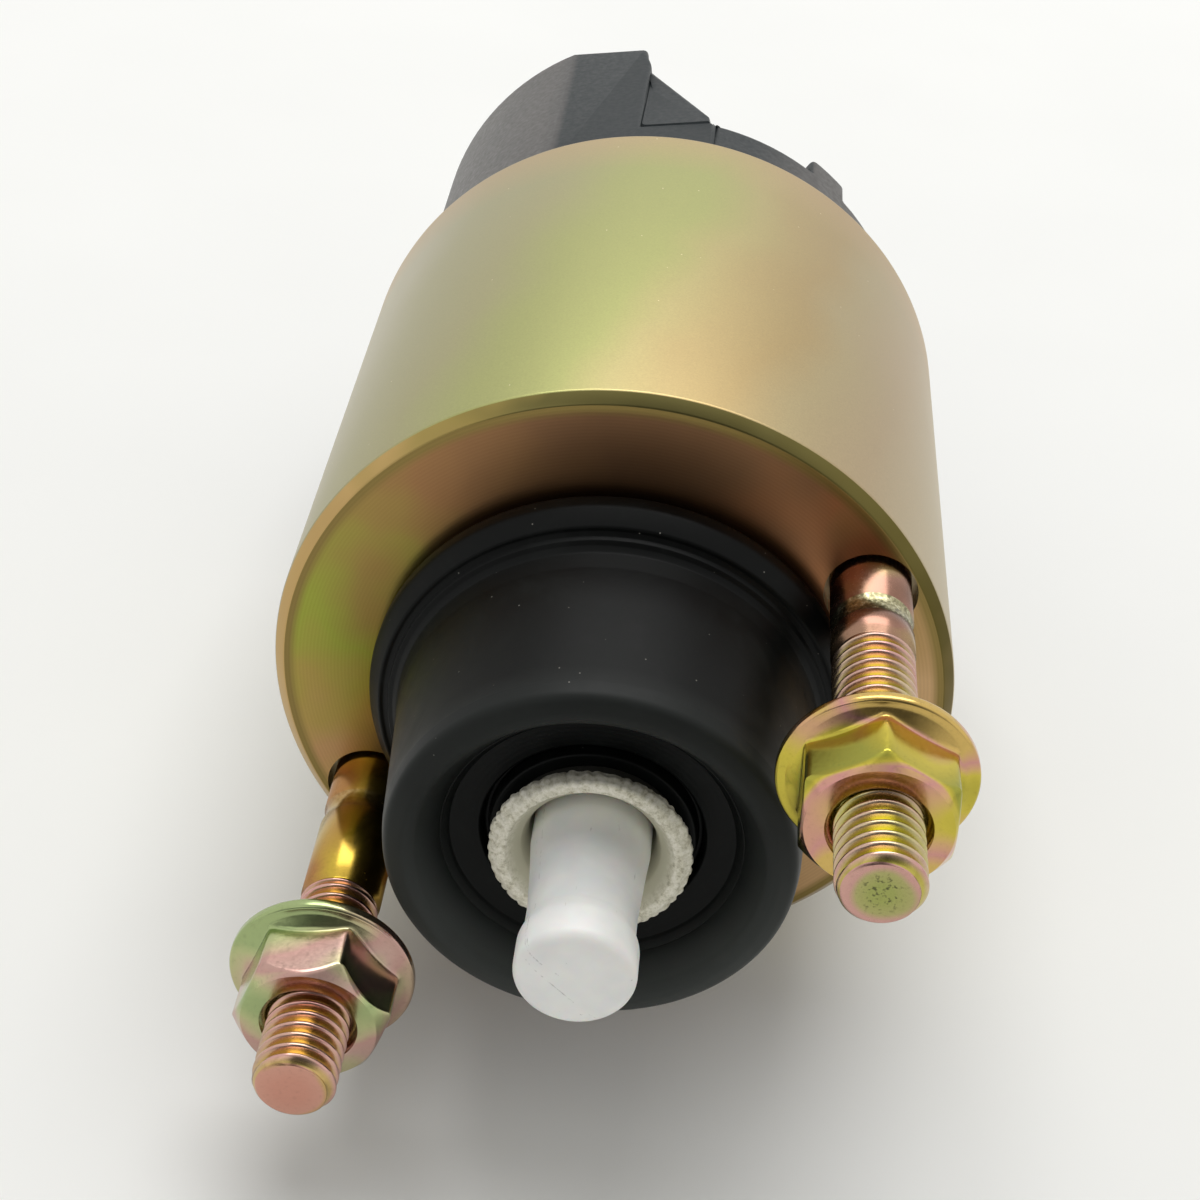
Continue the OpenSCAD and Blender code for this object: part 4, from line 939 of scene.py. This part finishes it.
stage = {"floorHeight": -26.0, "floorSize": 6, "floorColour": "#F4F4F1", "patchColour": "#F6F6F3"}  # in mm and metres
lamps = {
    # place and size in metres, power in watts
    "softbox": {"place": (0.0, 0.5, 1.1), "size": (1.05, 0.85), "power": 9.65},
    "fillLamp": {"place": (-0.5, -0.95, 0.7), "size": (0.6, 0.6), "power": 0.85}}
# the dim side's direction, how close to it the light falls off, and the light level there and on matt surfaces
room = {"colour": "#FDFDFC", "dimSide": (0.02, -0.92, 0.38), "dimRange": (0.6, 0.95), "dimLevel": 0.1, "level": 0.48}


def makeFloor(spec):
    bpy.ops.object.select_all(action="DESELECT")
    bpy.ops.mesh.primitive_plane_add(size=spec["floorSize"], location=(0, 0, spec["floorHeight"] * mm))
    floor = bpy.context.object
    floor.name = "floor"
    bpy.ops.object.transform_apply(location=True, rotation=True, scale=True)
    # painted board: plain and pale
    material, tree, shader, place = newMaterial("paintedBoard", Roughness=0.85)
    cloud = addNode(tree, "TexNoise", {"Vector": place, "Scale": 1 / (40 * mm), "Detail": 2})
    tone = addNode(tree, "ValToRGB", {0: cloud}, [(0.3, spec["floorColour"]), (0.7, spec["patchColour"])])
    setShader(tree, shader, Base_Color=tone)
    paint(floor, material)


def addLamp(name, spec):
    data = bpy.data.lights.new(name, "AREA")
    data.shape = "RECTANGLE"
    data.size, data.size_y = spec["size"]
    data.energy = spec["power"]
    lamp = bpy.data.objects.new(name, data)
    bpy.context.scene.collection.objects.link(lamp)
    lamp.location = spec["place"]
    lamp.rotation_euler = (-Vector(spec["place"])).to_track_quat("-Z", "Y").to_euler()


def makeRoom(spec):
    # white to the camera; metal sees the same white with the dim side of the room where the viewer stands
    world = bpy.data.worlds.new("room")
    world.use_nodes = True
    bpy.context.scene.world = world
    tree = world.node_tree
    rays = addNode(tree, "LightPath")
    way = addNode(tree, "TexCoord").outputs["Generated"]
    toward = addNode(tree, "VectorMath", {0: way, 1: spec["dimSide"]}, operation="DOT_PRODUCT")
    near, full = spec["dimRange"]
    dim = addNode(tree, "MapRange", {0: toward, 1: near, 2: full, 3: 1.0, 4: spec["dimLevel"]})
    seen = addNode(
        tree, "Math", {0: rays.outputs["Is Camera Ray"], 1: rays.outputs["Is Transmission Ray"]}, operation="MAXIMUM")
    glossy = addNode(tree, "Math", {0: rays.outputs["Is Glossy Ray"], 1: dim}, operation="MULTIPLY")
    bright = addNode(tree, "Math", {0: seen, 1: glossy}, operation="MAXIMUM")
    plain = addNode(tree, "Math", {0: seen, 1: rays.outputs["Is Glossy Ray"]}, operation="MAXIMUM")
    rest = addNode(tree, "Math", {0: 1.0, 1: plain}, operation="SUBTRACT")
    level = addNode(tree, "Math", {0: rest, 1: spec["level"], 2: bright}, operation="MULTIPLY_ADD")
    background = tree.nodes["Background"]
    feed(tree, background.inputs["Color"], srgb(spec["colour"]))
    feed(tree, background.inputs["Strength"], level)


makeFloor(stage)
for name, spec in lamps.items():
    addLamp(name, spec)
makeRoom(room)

# lens and sensor in mm; the rows hold the camera's right, up and backward directions, and its place in metres
photoView = {"lens": 66.48, "sensor": 36, "nearest": 0.01, "rows": (
    (0.9919, -0.1264, 0.0100, 0), (0.0804, 0.5660, -0.8205, -0.1348), (0.0980, 0.8146, 0.5716, 0.1024), (0, 0, 0, 1))}
camera = bpy.data.cameras.new("photoCamera")
camera.sensor_width = photoView["sensor"]
camera.lens = photoView["lens"]
camera.clip_start = photoView["nearest"]
cameraObject = bpy.data.objects.new("photoCamera", camera)
bpy.context.scene.collection.objects.link(cameraObject)
cameraObject.matrix_world = Matrix(photoView["rows"])
bpy.context.scene.camera = cameraObject
bpy.context.scene.view_settings.view_transform = "Standard"
print("stage set")
